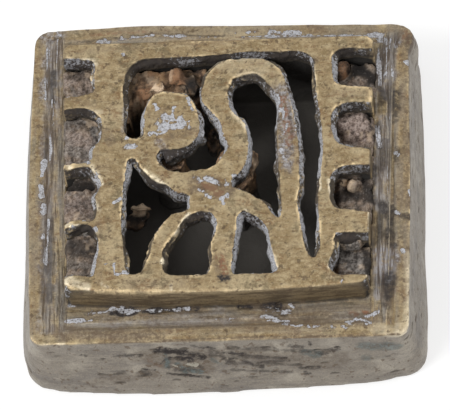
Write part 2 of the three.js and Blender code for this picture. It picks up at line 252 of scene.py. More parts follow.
def span(start, end):
    """A block between two corners."""
    start, end = np.minimum(start, end), np.maximum(start, end)
    return block((start + end) / 2, np.eye(3), (end - start) / 2)


def turned(blocks, turn):
    """Blocks given by two corners each, turned over to another side of the box."""
    return [span(np.multiply(start, turn), np.multiply(stop, turn)) for start, stop in blocks]


def modified(mesh, kind, **settings):
    """The mesh that one modifier makes of a mesh."""
    holder = bpy.data.objects.new("work", mesh)
    bpy.context.scene.collection.objects.link(holder)
    modifier = holder.modifiers.new("work", kind)
    for key, value in settings.items():
        setattr(modifier, key, value)
    graph = bpy.context.evaluated_depsgraph_get()
    result = bpy.data.meshes.new_from_object(holder.evaluated_get(graph))
    bpy.data.objects.remove(holder)
    return result


def remeshed(name, corners, triangles, voxel):
    """One closed skin round solids that overlap."""
    settings = {"mode": "VOXEL", "voxel_size": voxel, "adaptivity": 0}
    return modified(new_mesh(name, corners, triangles), "REMESH", **settings)


def places(mesh):
    values = np.zeros(len(mesh.vertices) * 3, np.float32)
    mesh.vertices.foreach_get("co", values)
    return values.reshape(-1, 3).astype(float)


def edge_ends(mesh):
    values = np.zeros(len(mesh.edges) * 2, np.int32)
    mesh.edges.foreach_get("vertices", values)
    return values.reshape(-1, 2)


def write_masks(mesh, masks, chosen=slice(None)):
    """Gives the points of a mesh the values that its material looks up."""
    for key, values in masks.items():
        attribute = mesh.attributes.new(key, "FLOAT", "POINT")
        attribute.data.foreach_set("value", values[chosen].astype(np.float32))


class Skin:
    """Points of a mesh with their neighbours."""

    # The steps of smoothing, the second of which undoes the shrinking of the first
    INWARD, OUTWARD = 0.5, -0.53

    def __init__(self, mesh):
        self.points = places(mesh)
        self.ends = edge_ends(mesh)
        self.count = len(self.points)
        self.neighbours = np.maximum(np.bincount(self.ends.ravel(), minlength=self.count), 1)
        self.corners = np.zeros(len(mesh.loops), np.int32)
        mesh.loops.foreach_get("vertex_index", self.corners)
        self.sizes = np.zeros(len(mesh.polygons), np.int32)
        mesh.polygons.foreach_get("loop_total", self.sizes)

    def average(self, values):
        one, two = self.ends[:, 0], self.ends[:, 1]
        total = np.bincount(one, values[two], self.count) + np.bincount(two, values[one], self.count)
        return total / self.neighbours

    def relax(self, points, share):
        moved = np.stack([self.average(points[:, k]) for k in range(3)], 1)
        return points + share * (moved - points)

    def softened(self, points, rounds):
        """Smoothed without shrinking."""
        for _ in range(rounds):
            points = self.relax(self.relax(points, self.INWARD), self.OUTWARD)
        return points

    def directions(self, points):
        """The outward normal at each point."""
        starts = np.concatenate(([0], np.cumsum(self.sizes)[:-1]))
        polygon = np.repeat(np.arange(len(self.sizes)), self.sizes)
        following = np.arange(len(self.corners)) + 1
        following[starts + self.sizes - 1] = starts
        here, after = points[self.corners], points[self.corners[following]]
        cross = np.cross(here, after)
        faces = np.stack([np.bincount(polygon, cross[:, k], len(self.sizes)) for k in range(3)], 1)
        spread = faces[polygon]
        total = np.stack([np.bincount(self.corners, spread[:, k], self.count) for k in range(3)], 1)
        return total / np.maximum(np.linalg.norm(total, axis=1, keepdims=True), 1e-12)

    def proud(self, points, rounds):
        """How far each point stands out of its surroundings."""
        settled = points
        for _ in range(rounds):
            settled = self.relax(settled, self.INWARD)
        return np.einsum("ij,ij->i", points - settled, self.directions(settled))


# Brass skin: the size of its cells, how many rounds of smoothing all of it and its worn edges get, and how
# worn the sheet's front edge is, how much more so at its left, and its side edges
VOXEL = 0.11
SOFTENING = 5
ROUNDING = 36
WORN_FRONT, WORN_LEFT, WORN_SIDES = 0.45, 0.55, 0.25

# Grooves outside the rim threads: how wide they are, how deep dirt has left them, how deep they were cut,
# where they end, and where the walls begin beyond them
GROOVE_WIDTH = 0.5
GROOVE_LEFT = 0.1
GROOVE_CUT = 0.8
GROOVE_REACH = 11.7
GROOVE_EDGE = 0.3
THREAD_X = high("right_rim_thread")[0]
THREAD_Y = high("back_rim_thread")[1]


def groove_dirt():
    """Blocks that fill the grooves but for a shallow channel."""
    top, foot, overlap = RIM_TOP - GROOVE_LEFT, RIM_TOP - GROOVE_CUT, 0.1
    width = GROOVE_WIDTH + overlap
    blocks = [
        ((THREAD_X - overlap, -GROOVE_REACH, foot), (THREAD_X + width, GROOVE_REACH, top)),
        ((-THREAD_X, THREAD_Y - overlap, foot), (THREAD_X, THREAD_Y + width, top)),
    ]
    return turned(blocks, (-1, -1, 1)) + turned(blocks, (1, 1, 1))


def sheet_side(y):
    """How far the sheet reaches to the left and right at y."""
    front, back = high("front_bar")[0], high("back_bar")[0]
    return np.interp(y, (low("front_bar")[1], high("back_bar")[1]), (front, back))


def beyond_grooves(x, y):
    """Which points belong to the walls."""
    return (np.abs(x) > THREAD_X + GROOVE_EDGE) | (np.abs(y) > THREAD_Y + GROOVE_EDGE)


def rounded(skin, points):
    """The sheet's outer edge worn round, most of all at the left of the front, and the walls smooth."""
    x, y, z = points.T
    even = beyond_grooves(x, y) * ramp(z, RIM_TOP - 0.4, RIM_TOP - 0.9)
    share = np.stack((even, even, even * ramp(z, 0, 0.5)), 1)
    for _ in range(2 * ROUNDING):
        points = points + share * (skin.relax(points, skin.INWARD) - points)
    top = ramp(z, SHEET_TOP - 1.1, SHEET_TOP - 0.7)
    front = ramp(y, low("front_bar")[1] + 1.0, low("front_bar")[1] + 0.6)
    sides = ramp(np.abs(x), sheet_side(y) - 0.6, sheet_side(y) - 0.3)
    front *= WORN_FRONT + WORN_LEFT * ramp(x, 2, -8)
    wear = top * np.clip(front + WORN_SIDES * sides, 0, 1)
    for _ in range(ROUNDING):
        points = points + wear[:, None] * (skin.relax(points, skin.INWARD) - points)
    return points


def brass_skin():
    """The whole casting as one skin, its edges slightly rounded."""
    corners, triangles, _ = joined(BRASS)
    for more, faces in groove_dirt():
        halves = [half for a, b, c, d in faces for half in ((a, b, c), (a, c, d))]
        triangles = np.vstack((triangles, np.array(halves) + len(corners)))
        corners = np.vstack((corners, more))
    mesh = remeshed("brass", corners, triangles, VOXEL)
    skin = Skin(mesh)
    skin.points = rounded(skin, skin.softened(skin.points, SOFTENING))
    mesh.vertices.foreach_set("co", skin.points.astype(np.float32).ravel())
    source = mesh.attributes.new("source", "INT", "POINT")
    source.data.foreach_set("value", np.arange(1, skin.count + 1, dtype=np.int32))
    return mesh, skin


# The front wall leans back by this much from its foot to its rim
FRONT_LEAN = 0.8

# What the patches lie on: a level plane of some height, or with a lean the front wall
SURFACES = {
    "top": (SHEET_TOP, None),
    "rim": (RIM_TOP, None),
    "front": (RIM_TOP, (low("front_wall")[1], low("front_wall")[1] + FRONT_LEAN)),
}

# How far a patch fades, in half widths, and how far round it its points are looked for
FADE_FULL, FADE_NONE = 0.6, 1.35
PATCH_REACH, PATCH_MARGIN = 2.2, 0.2

# Stains, crusts and painted highlights, placed by the pixels of the photograph. For each kind and surface:
# the two ends of the middle line, its half width in pixels and its strength.
PATCHES = {
    ("ashen", "top"): (
        (282, 88, 283, 104, 9, 0.6), (283, 100, 288, 160, 10, 0.9), (126, 108, 124, 132, 3, 0.5),
        (158, 142, 164, 150, 4, 0.7),
    ),
    ("painted_highlight", "top"): (
        (66, 60, 94, 60, 2.4, 0.7), (92, 62, 96, 64, 2, 0.9), (93, 80, 102, 81, 1.2, 0.8),
        (66, 111, 100, 112, 2.4, 0.6), (66, 163, 70, 168, 2, 1), (92, 166, 101, 184, 2, 0.9),
        (94, 200, 99, 210, 1.8, 0.7), (66, 224, 95, 232, 2.4, 0.9), (66, 281, 88, 286, 4.5, 1),
        (102, 284, 108, 287, 1.6, 0.9), (171, 285, 171, 290, 1, 1), (202, 108, 224, 144, 2.2, 0.8),
        (232, 112, 246, 128, 1.8, 0.6), (145, 170, 168, 190, 2, 0.9), (188, 215, 163, 262, 2.8, 1.1),
        (245, 210, 258, 236, 2, 0.8), (270, 250, 275, 268, 2, 0.7), (314, 64, 316, 98, 1, 0.8),
        (321, 128, 319, 190, 1, 0.8), (329, 180, 332, 195, 2, 0.9), (332, 258, 330, 266, 2.2, 1),
        (372, 158, 372, 168, 2.2, 0.9), (370, 212, 370, 233, 2.2, 0.9), (368, 273, 368, 281, 2.2, 0.9),
        (340, 51, 352, 49, 1.8, 0.6), (228, 66, 266, 66, 10, 0.3),
    ),
    ("brown", "top"): (
        (281, 88, 288, 164, 11, 0.6), (196, 184, 226, 190, 10, 0.8), (150, 112, 176, 124, 9, 0.4),
        (218, 262, 226, 276, 7, 0.6), (170, 138, 196, 130, 6, 0.6), (104, 132, 112, 144, 5, 0.5),
        (104, 168, 122, 176, 6, 0.3), (64, 54, 66, 290, 2.4, 0.4), (375, 50, 372, 290, 2.6, 0.5),
        (94, 62, 100, 290, 3, 0.35), (66, 98, 92, 104, 4, 0.4), (130, 284, 190, 284, 5, 0.35),
        (332, 94, 368, 92, 5, 0.3), (150, 44, 230, 41, 4, 0.4), (70, 52, 140, 48, 4, 0.35),
    ),
    ("dark", "top"): (
        (221, 278, 228, 277, 4.6, 1.1), (284, 62, 310, 62, 7, 1), (133, 146, 135, 146.6, 1.1, 1),
        (214, 180, 220, 186, 2.4, 0.5), (200, 186, 206, 192, 2, 0.5), (276, 96, 278, 120, 1.6, 0.5),
        (290, 112, 293, 150, 1.6, 0.5),
    ),
    ("rust", "top"): (
        (222, 258, 226, 272, 4.6, 0.9), (282, 100, 285, 114, 4, 0.8), (287, 124, 290, 142, 5, 0.8),
        (204, 184, 218, 192, 6, 0.5),
    ),
    ("swell", "top"): (
        (192, 132, 170, 146, 6, 1),
    ),
    ("white", "top"): (
        (155, 104, 157, 109, 2.6, 0.9), (163, 116, 168, 118, 3.4, 0.9), (174, 107, 172, 119, 1.8, 0.9),
        (163, 127, 180, 127, 3.6, 0.85), (180, 118, 184, 124, 3.2, 0.8), (188, 99, 193, 110, 1.6, 1),
        (189, 121, 190, 127, 1.8, 0.8), (142, 126, 144, 114, 1.7, 0.8), (150, 134, 165, 131, 2.6, 0.6),
        (127, 146, 134, 147, 2.6, 0.9), (123, 54, 123.5, 54.5, 1.6, 1), (84, 158, 88, 162, 2.4, 0.8),
        (84, 220, 91, 219, 1.4, 1), (113, 203, 121, 198, 1.5, 0.7), (114, 264, 115, 273, 1.8, 0.8),
        (115, 274, 128, 273, 1.6, 0.9), (226, 180, 227, 184, 2, 1), (227, 195, 228, 198, 1.8, 1),
        (194, 178, 200, 182, 2.2, 0.6), (231, 175, 236, 176, 1.5, 0.8), (341, 281, 342, 284, 1.6, 0.9),
        (274, 96, 279, 105, 1.6, 0.5), (282, 108, 284, 118, 1.6, 0.7), (287, 124, 285, 134, 1.6, 0.7),
        (281, 150, 284, 158, 1.8, 0.8), (277, 92, 279, 112, 1.6, 0.7), (293, 100, 296, 130, 1.4, 0.6),
        (206, 178, 218, 184, 3, 0.75), (200, 190, 210, 197, 2.4, 0.7), (222, 198, 224, 204, 2, 0.8),
        (162, 123, 178, 122, 6, 0.5), (140, 112, 146, 104, 2, 0.6), (106, 264, 112, 270, 2, 0.5),
        (70, 117, 96, 118, 3, 0.45), (70, 174, 94, 176, 3.4, 0.5), (72, 227, 94, 230, 3.4, 0.5),
        (338, 235, 370, 237, 3.4, 0.5), (128, 76, 128, 138, 2.6, 0.5), (335, 82, 338, 84, 1.4, 0.6),
        (299, 208, 300, 212, 1.6, 0.8),
    ),
    ("ashen", "rim"): (
        (54, 34, 50, 100, 9, 0.75), (50, 100, 46, 330, 7, 0.45), (388, 46, 386, 90, 9, 0.75),
        (382, 118, 380, 206, 7, 0.7), (384, 252, 384, 272, 11, 1), (378, 276, 378, 298, 4, 0.8),
        (104, 320, 220, 318, 8, 0.35),
    ),
    ("painted_highlight", "rim"): (
        (408, 255, 406, 332, 3.4, 0.6), (376, 328, 404, 332, 6, 0.6), (33, 345, 64, 345, 1.4, 0.8),
        (66, 346, 90, 345, 1.4, 0.6),
    ),
    ("brown", "rim"): (
        (68, 336, 160, 336, 5, 0.9), (262, 318, 372, 318, 7, 0.7), (46, 130, 43, 300, 5, 0.75),
        (40, 40, 36, 130, 4, 0.4), (36, 200, 34, 330, 4, 0.35), (400, 214, 411, 218, 4.5, 0.9),
        (390, 272, 388, 302, 8, 0.8), (372, 60, 370, 280, 4, 0.6), (398, 34, 408, 50, 8, 0.7),
        (236, 31, 396, 30, 4, 0.35), (100, 312, 200, 308, 6, 0.5), (252, 304, 290, 318, 9, 0.8),
        (60, 332, 150, 334, 9, 0.8), (150, 326, 330, 322, 7, 0.55), (300, 312, 372, 306, 5, 0.5),
        (405, 56, 405, 205, 6, 0.6), (66, 346, 226, 338, 1.3, 1), (226, 338, 400, 335, 1.3, 1),
        (404, 226, 403, 300, 6, 0.5),
    ),
    ("dark", "rim"): (
        (396, 214, 409, 216, 3, 0.7), (384, 140, 383, 168, 3, 0.5), (381, 212, 380, 236, 3, 0.6),
        (53, 72, 52, 102, 2.6, 0.8), (47, 140, 45, 166, 1.8, 0.6), (44, 240, 42, 300, 1.6, 0.5),
        (112, 313, 196, 308, 4, 1.5), (50, 222, 49, 300, 4, 0.6), (68, 302, 110, 305, 2, 0.5),
        (240, 306, 278, 306, 3.4, 1.4), (268, 314, 284, 322, 3, 0.5), (300, 318, 380, 314, 2.4, 0.4),
        (402, 40, 408, 50, 3.6, 0.5), (50, 44, 60, 41, 2, 0.4), (380, 62, 381, 104, 4, 0.7),
        (394, 92, 394, 120, 6, 0.85), (378, 122, 379, 146, 3.4, 0.7), (396, 148, 396, 160, 2.4, 0.7),
        (383, 206, 392, 214, 5, 0.9), (391, 210, 391, 244, 5.6, 0.9), (404, 216, 410, 218, 2.4, 0.7),
        (390, 277, 388, 296, 6, 0.9), (378, 302, 388, 306, 3, 0.6), (374, 66, 374, 78, 3, 0.8),
        (373, 112, 373, 140, 3, 0.7), (372, 168, 372, 202, 3.4, 0.8), (370, 240, 370, 268, 3, 0.7),
        (66, 46, 150, 37, 1.1, 0.6), (150, 37, 236, 36, 1, 0.6), (262, 300, 284, 312, 5, 0.6),
    ),
    ("rust", "rim"): (
        (364, 311, 367, 313, 2.4, 0.9), (350, 312, 356, 314, 2.4, 0.5), (396, 36, 406, 42, 4, 0.4),
        (92, 38, 146, 35, 1.8, 0.5),
    ),
    ("white", "rim"): (
        (66, 48, 110, 43, 1.6, 0.45), (118, 42, 150, 39, 1.4, 0.7), (236, 33, 254, 32, 3, 0.6),
        (270, 33, 300, 33, 2, 0.7), (342, 37, 378, 36, 2.6, 0.9), (378, 40, 393, 46, 4, 0.6),
        (404, 61, 408, 63, 2.6, 0.9), (44, 162, 42, 176, 2.4, 0.9), (41, 186, 42, 196, 2.2, 0.8),
        (44, 205, 43, 214, 2.2, 0.8), (43, 235, 43, 238, 2.2, 0.9), (70, 306, 84, 304, 2.6, 0.7),
        (90, 314, 120, 309, 3.6, 0.6), (66, 322, 92, 320, 2.6, 0.7), (128, 311, 188, 309, 3, 0.7),
        (262, 309, 290, 312, 3, 0.4), (266, 318, 288, 322, 3.2, 0.45), (291, 305, 294, 307, 2, 1),
        (346, 322, 356, 319, 1.6, 0.8), (359, 320, 369, 323, 2, 0.5), (200, 318, 236, 320, 2.6, 0.36),
        (379, 48, 381, 84, 3, 0.46), (386, 50, 390, 74, 3.4, 0.6), (376, 126, 380, 146, 2.4, 0.5),
        (388, 140, 388, 205, 1.4, 0.4), (396, 212, 400, 214, 2, 0.9), (59, 34, 57, 62, 2.6, 0.42),
        (48, 50, 46, 98, 2.4, 0.42), (260, 316, 292, 326, 1.8, 0.48), (292, 326, 344, 327, 2, 0.42),
        (344, 327, 378, 312, 2, 0.5), (48, 220, 46, 262, 2.4, 0.55), (52, 100, 50, 160, 1.8, 0.5),
        (150, 38.6, 236, 37.6, 1, 0.5), (236, 37, 370, 35, 1.2, 0.75), (395, 153, 398, 155, 1.8, 0.9),
        (409, 190, 411, 196, 1.4, 0.9), (402, 250, 404, 252, 1.8, 0.9),
    ),
    ("brown", "front"): (
        (94, 380, 150, 372, 7, 0.45), (144, 354, 158, 356, 3, 0.7), (150, 362, 210, 366, 8, 0.5),
        (150, 356, 204, 362, 13, 0.45), (206, 354, 340, 360, 14, 0.4),
    ),
    ("dark", "front"): (
        (230, 348, 330, 352, 3, 0.5), (226, 362, 300, 364, 2.4, 0.5), (250, 356, 286, 358, 2, 0.6),
        (213, 350, 230, 360, 4.5, 0.6), (81, 356, 86, 357, 1.8, 0.9), (114, 356, 139, 356, 2, 0.7),
        (97, 381, 124, 381, 1.8, 0.6), (112, 370, 148, 371, 2.4, 0.5), (309, 342, 311, 345, 1.8, 0.7),
        (305, 371, 307, 373, 1.6, 0.7), (157, 351, 184, 353, 4.6, 1.2), (170, 357, 188, 359, 4, 1.1),
        (190, 354, 202, 357, 3.6, 1), (176, 368, 200, 366, 3, 0.6), (244, 360, 262, 366, 3, 0.8),
        (212, 355, 262, 357, 3, 0.55), (262, 362, 300, 359, 2, 0.6), (100, 374, 130, 371, 1.8, 0.6),
        (160, 363, 166, 358, 1.6, 0.9), (168, 371, 208, 375, 1.6, 0.9), (192, 346, 204, 348, 1.6, 0.7),
        (208, 347, 216, 348, 2.2, 1), (224, 352, 242, 354, 3, 0.9), (222, 358, 236, 358, 1.8, 0.9),
        (232, 368, 292, 371, 2.4, 0.6), (143, 368, 155, 368, 2, 0.9), (128, 375, 150, 373, 1.8, 0.8),
        (290, 346, 302, 347, 3, 0.6), (322, 353, 338, 349, 3.6, 0.7), (301, 367, 318, 367, 2.2, 0.7),
        (305, 373, 309, 373, 1.6, 1),
    ),
    ("green", "front"): (
        (166, 355, 168, 366, 3.4, 0.9), (178, 363, 186, 368, 5, 0.9), (192, 369, 200, 370, 3, 0.9),
        (214, 359, 222, 362, 3.6, 0.9), (306, 352, 316, 354, 5, 0.7), (362, 346, 398, 350, 7, 0.7),
        (368, 358, 396, 358, 5, 0.5),
    ),
    ("pale", "front"): (
        (172, 363, 178, 365, 2, 0.7), (188, 363, 196, 364, 2, 0.7),
    ),
    ("rust", "front"): (
        (150, 360, 160, 364, 3, 0.3),
    ),
}


def lay_patch(mask, points, wander, start, end, half_width, strength):
    """Adds a patch along a line to a mask. wander bends its outline."""
    radius = half_width / PIXELS_PER_MM
    reach = radius * PATCH_REACH + PATCH_MARGIN
    near = np.all(points > np.minimum(start, end) - reach, axis=1)
    near &= np.all(points < np.maximum(start, end) + reach, axis=1)
    inside = points[near]
    line = end - start
    share = np.clip((inside - start) @ line / max(line @ line, 1e-9), 0, 1)
    gap = np.linalg.norm(inside - start - share[:, None] * line, axis=1)
    cover = ramp(gap + wander[near] * radius, radius * FADE_NONE, radius * FADE_FULL)
    mask[near] = np.maximum(mask[near], cover * strength)


def patch_masks(points, wander):
    """For each kind of patch, how strongly each point is covered. A swelling counts at every height."""
    masks = {kind: np.zeros(len(points)) for kind, _ in PATCHES}
    for (kind, surface), patches in PATCHES.items():
        height, lean = SURFACES[surface]
        spots = points * (1, 1, 0) + (0, 0, height) if kind == "swell" else points
        for x0, y0, x1, y1, half_width, strength in patches:
            start, end = seen_at((x0, y0), height, lean), seen_at((x1, y1), height, lean)
            lay_patch(masks[kind], spots, wander, start, end, half_width, strength)
    return masks


# How far the hand-made walls stand out of their straight shape, everywhere and at most: the foot is fuller
# towards the front, the rim at the back left, and the two right corners are squarer
FULLER_RIGHT = (0.05, 0.42)
FULLER_LEFT = (0.05, 0.34)
FULLER_FRONT = (0.16, 0.2)
FULLER_BACK = 0.26
FRONT_CORNER = (0.1, 0.25)
BACK_CORNER = (0.72, 0.1)


def hand_made(points):
    """How far each point is pushed out by the unevenness of the walls."""
    x, y, z = points.T
    across = ramp(np.abs(x), THREAD_X + 0.2, THREAD_X + 0.7)
    along = ramp(np.abs(y), THREAD_Y + 0.2, THREAD_Y + 0.7)
    low_down = ramp(z, RIM_TOP - 0.5, 1)
    high_up = ramp(z, 2, RIM_TOP - 1)
    to_front, to_left = ramp(y, -2, -10), ramp(x, 4, -5)
    right = (FULLER_RIGHT[0] + FULLER_RIGHT[1] * to_front) * across * (x > 0)
    left = (FULLER_LEFT[0] + FULLER_LEFT[1] * to_front) * across * (x < 0)
    front = (FULLER_FRONT[0] + FULLER_FRONT[1] * to_left) * along * (y < 0)
    back = FULLER_BACK * ramp(x, 2, -6) * along * (y > 0)
    corner = ramp(x, 10.4, 12.4) * ramp(np.abs(y), 9.6, 11.6)
    front_corner, back_corner = corner * (y < 0), corner * (y > 0)
    push = np.zeros_like(points)
    push[:, 0] = low_down * (right - left + FRONT_CORNER[0] * front_corner)
    push[:, 0] += BACK_CORNER[0] * ramp(z, 1, 5) * back_corner
    push[:, 1] = low_down * (FRONT_CORNER[1] * front_corner - front)
    push[:, 1] += high_up * (back + BACK_CORNER[1] * back_corner)
    return push


# Relief of the brass in millimetres: two grains of noise with their seed and layers, how rough each part is
# in the one and in the other, and how high or deep the other marks are
GRAINS = ((0.9, 41, 3), (0.34, 51, 2))
ROUGHNESS = {
    "top": (0.012, 0.005),
    "rim": (0.02, 0.008),
    "wall": (0.022, 0.008),
    "lip": (0.11, 0.09),
    "inside": (0.05, 0.02),
}
UNEVEN = 0.05
LIP_SWELL = 0.24
HEAD_SWELL = 0.45
WALL_LINES = 0.02
THREAD_LINES = 0.03
PIT_DEPTH = 0.06
CRUST_HEIGHT = 0.05
TEAR_DEPTH = 0.09
HIGHEST = 0.08

# How many rounds of smoothing the fine and the broad forms are measured against
FINE_ROUNDS, BROAD_ROUNDS, CLAY_ROUNDS = 8, 40, 6


def brass_relief(skin):
    """Roughens the skin and says where it is worn, where highlights are painted, hollow, where shade is
    painted inside the box and on the far walls of the openings, crusted, rusty and stained.
    """
    flat = skin.points
    normals = skin.directions(flat)
    x, y, z = flat.T
    side = sheet_side(y)
    up = ramp(normals[:, 2], 0.6, 0.9)
    steep = ramp(np.abs(normals[:, 2]), 0.75, 0.4)
    within = ramp(np.abs(x), side - 0.03, side - 0.15) * ramp(np.abs(y), CAVITY[1] + 0.7, CAVITY[1] + 0.4)
    outside = beyond_grooves(x, y)
    wall = steep * outside
    flank = steep * (1 - outside) * (1 - within) * ramp(z, RIM_TOP - 0.3, RIM_TOP)
    inside = within * ramp(z, SHEET_TOP - 0.7, SHEET_TOP - 1.3) * (z > FLOOR_TOP * 0.5)
    lip = within * (1 - up) * ramp(z, SHEET_TOP - 1.4, SHEET_TOP - 0.8)
    top = up * ramp(z, SHEET_TOP - 0.5, SHEET_TOP - 0.2)
    rim = up * (1 - top) * ramp(z, RIM_TOP - 0.9, RIM_TOP - 0.3) * (1 - within)
    beside = ramp(np.abs(x), side - 0.1, side + 0.1)
    # far walls of the openings, facing the front, which get painted shade
    far = lip * ramp(-normals[:, 1], 0.45, 0.85)
    drawn = 1.5 * beside * layered(flat, (0.3, 3, 1), 31, 3)
    drawn += (1 - beside) * layered(flat, (3, 0.3, 1), 34, 3)
    lip_here = np.clip(0.55 + 1.2 * layered(flat, 2.2, 96, 2), 0.1, 1)
    lip_here *= 1 - 0.5 * ramp(np.abs(normals[:, 1]), 0.3, 0.8)
    near_groove = ramp(np.abs(x), THREAD_X + 0.75, THREAD_X + 0.5)
    near_groove *= ramp(np.abs(y), THREAD_Y + 0.75, THREAD_Y + 0.5)

    wander = layered(flat, 0.9, 11, 3)
    masks = patch_masks(flat + wander[:, None] * 0.06, wander)

    relief = UNEVEN * layered(flat, 4.5, 21, 3)
    under_edge = within * (1 - up) * ramp(z, SHEET_TOP - 0.1, SHEET_TOP - 0.5)
    under_edge *= ramp(z, SHEET_UNDER - 0.1, SHEET_UNDER + 0.4)
    swelling = LIP_SWELL * (0.8 + 0.8 * layered(flat, 1.3, 97, 2)) + HEAD_SWELL * masks["swell"]
    relief += under_edge * swelling
    relief += WALL_LINES * wall * layered(flat, (3.5, 3.5, 0.6), 37, 3) + THREAD_LINES * rim * drawn
    parts = {"top": top, "rim": rim, "wall": wall, "lip": lip, "inside": inside}
    for level, (size, seed, layers) in enumerate(GRAINS):
        strength = sum(ROUGHNESS[key][level] * part for key, part in parts.items())
        relief += strength * layered(flat, size, seed, layers)
    pits = ramp(nearest_seed(flat * (0.45, 0.45, 1.8), 1.0, 61) + 0.1 * wander, 0.2, 0.08)
    relief -= PIT_DEPTH * wall * pits
    relief += CRUST_HEIGHT * masks["white"] * (0.6 + 0.6 * layered(flat, 0.3, 71, 2))
    torn = ramp(layered(flat, (0.9, 0.9, 0.35), 81, 3), 0.0, 0.35)
    relief -= TEAR_DEPTH * masks["dark"] * torn * (1 - top)
    relief *= np.where(wall > 0.5, ramp(z, 0.0, 1.6), ramp(z, 0.0, 0.4))
    settled = flat + normals * relief[:, None] + hand_made(flat)
    settled[:, 2] = np.clip(settled[:, 2], 0, SHEET_TOP + HIGHEST)

    fine = skin.proud(settled, FINE_ROUNDS)
    broad = skin.proud(settled, BROAD_ROUNDS)
    proud = np.clip(ramp(fine, 0.01, 0.035) * 0.8 + ramp(broad, 0.04, 0.12) * 0.5, 0, 1)
    hollow = np.clip(ramp(fine, -0.004, -0.03) * 0.6 + ramp(broad, -0.01, -0.1) * 0.8, 0, 1)
    here_and_there = ramp(layered(flat, 1.5, 91, 3), 0.0, 0.3)
    del masks["swell"]
    return settled, {
        **masks,
        # worn edges: paler worn brass, and partly a painted highlight
        "edge": proud * here_and_there * (1 - 0.85 * (rim + wall)),
        "hollow": hollow * (1 - 0.5 * rim),
        # painted highlights: cream light painted along edges, stronger where they stand out
        "painted_highlight": masks["painted_highlight"] * np.clip(0.45 + proud, 0, 1),
        # dark stains, and painted shade on the far walls of the openings
        "dark": np.maximum(masks["dark"], 0.85 * far),
        # how deep inside the box; there the painted shade is made lighter, to offset the real shade of the
        # floor
        "deep": inside * ramp(z, SEAT, FLOOR_TOP),
        "crusted": lip * lip_here,
        "rim": rim * np.clip(0.45 + 1.2 * drawn, 0, 1) * (0.45 + 0.55 * near_groove),
        "rail": rim * near_groove * (0.45 + 0.55 * beside),
        # the inside of the box under the sheet, where shade is painted
        "painted_shade": inside, "wall": wall, "flank": flank, "lip": lip, "beside": beside, "far": far,
    }


# Joints: where the casting is parted. How wide the cuts are, how far they keep off the nodes' faces, and how
# far they reach past the brass.
KERF = 0.004
CLEAR = 0.05
REACH = 0.2

# Two faces are a joint when both are upright, they face each other, touch and share some length
UPRIGHT = 0.1
OPPOSITE = -0.999
TOUCHING = 0.01
SHORTEST = 0.05
TINY = 1e-6


def face_planes(name):
    """The triangles of a CAD node and their normals."""
    corners, triangles = node_arrays(name)
    spots = corners[triangles]
    normals = np.cross(spots[:, 1] - spots[:, 0], spots[:, 2] - spots[:, 0])
    areas = np.linalg.norm(normals, axis=1)
    whole = areas > TINY
    return spots[whole], normals[whole] / areas[whole, None]


def joint_cuts(names):
    """A thin upright block in each joint between two neighbours of the sheet."""
    planes = {name: face_planes(name) for name in names}
    cuts = []
    for one, two in itertools.combinations(names, 2):
        if np.any(low(one) > high(two) + TOUCHING) or np.any(low(two) > high(one) + TOUCHING):
            continue
        best = {}
        for spots, normal in zip(*planes[one]):
            if abs(normal[2]) > UPRIGHT:
                continue
            along = np.array([-normal[1], normal[0], 0])
            offset = normal @ spots[0]
            for others, facing in zip(*planes[two]):
                if facing @ normal > OPPOSITE or abs(normal @ others[0] - offset) > TOUCHING:
                    continue
                start = max((spots @ along).min(), (others @ along).min())
                end = min((spots @ along).max(), (others @ along).max())
                top = min(spots[:, 2].max(), others[:, 2].max())
                foot = max(spots[:, 2].min(), others[:, 2].min())
                if end - start > SHORTEST and top - foot > SHORTEST:
                    key = tuple(np.round([*normal[:2], offset], 2))
                    known = best.get(key, (start, end, normal, along, offset))
                    best[key] = (min(known[0], start), max(known[1], end), *known[2:])
        if best:
            start, end, normal, along, offset = max(best.values(), key=lambda cut: cut[1] - cut[0])
            centre = normal * offset + along * (start + end) / 2
            centre[2] = (SEAT + SHEET_TOP) / 2
            halves = (KERF / 2, (end - start) / 2 + 2 * REACH, (SHEET_TOP - SEAT) / 2 + 1)
            cuts.append(block(centre, (normal, along, (0, 0, 1)), halves))
    return cuts


def hull_ring(names, bottom, top):
    """A thin upright wall just outside the plan of some nodes."""
    plan = np.unique(np.round(np.vstack([node_arrays(name)[0][:, :2] for name in names]), 3), axis=0)
    plan = plan[np.lexsort((plan[:, 1], plan[:, 0]))]

    def turns_left(a, b, c):
        return (b[0] - a[0]) * (c[1] - a[1]) - (b[1] - a[1]) * (c[0] - a[0]) > TINY

    def half(points):
        chain = []
        for point in points:
            while len(chain) > 1 and not turns_left(chain[-2], chain[-1], point):
                chain.pop()
            chain.append(point)
        return chain[:-1]

    hull = np.array(half(plan) + half(plan[::-1]))
    centre = hull.mean(0)
    outward = hull - centre
    outward /= np.linalg.norm(outward, axis=1, keepdims=True)
    corners, count = [], len(hull)
    for grow in (CLEAR, CLEAR + KERF * 1.5):
        for level in (bottom, top):
            corners += [(*(point + way * grow), level) for point, way in zip(hull, outward)]
    faces = []
    for i in range(count):
        j = (i + 1) % count
        faces += [
            [i, count + i, count + j, j], [2 * count + i, 2 * count + j, 3 * count + j, 3 * count + i],
            [i, j, 2 * count + j, 2 * count + i], [count + i, 3 * count + i, 3 * count + j, count + j],
        ]
    return np.array(corners), faces


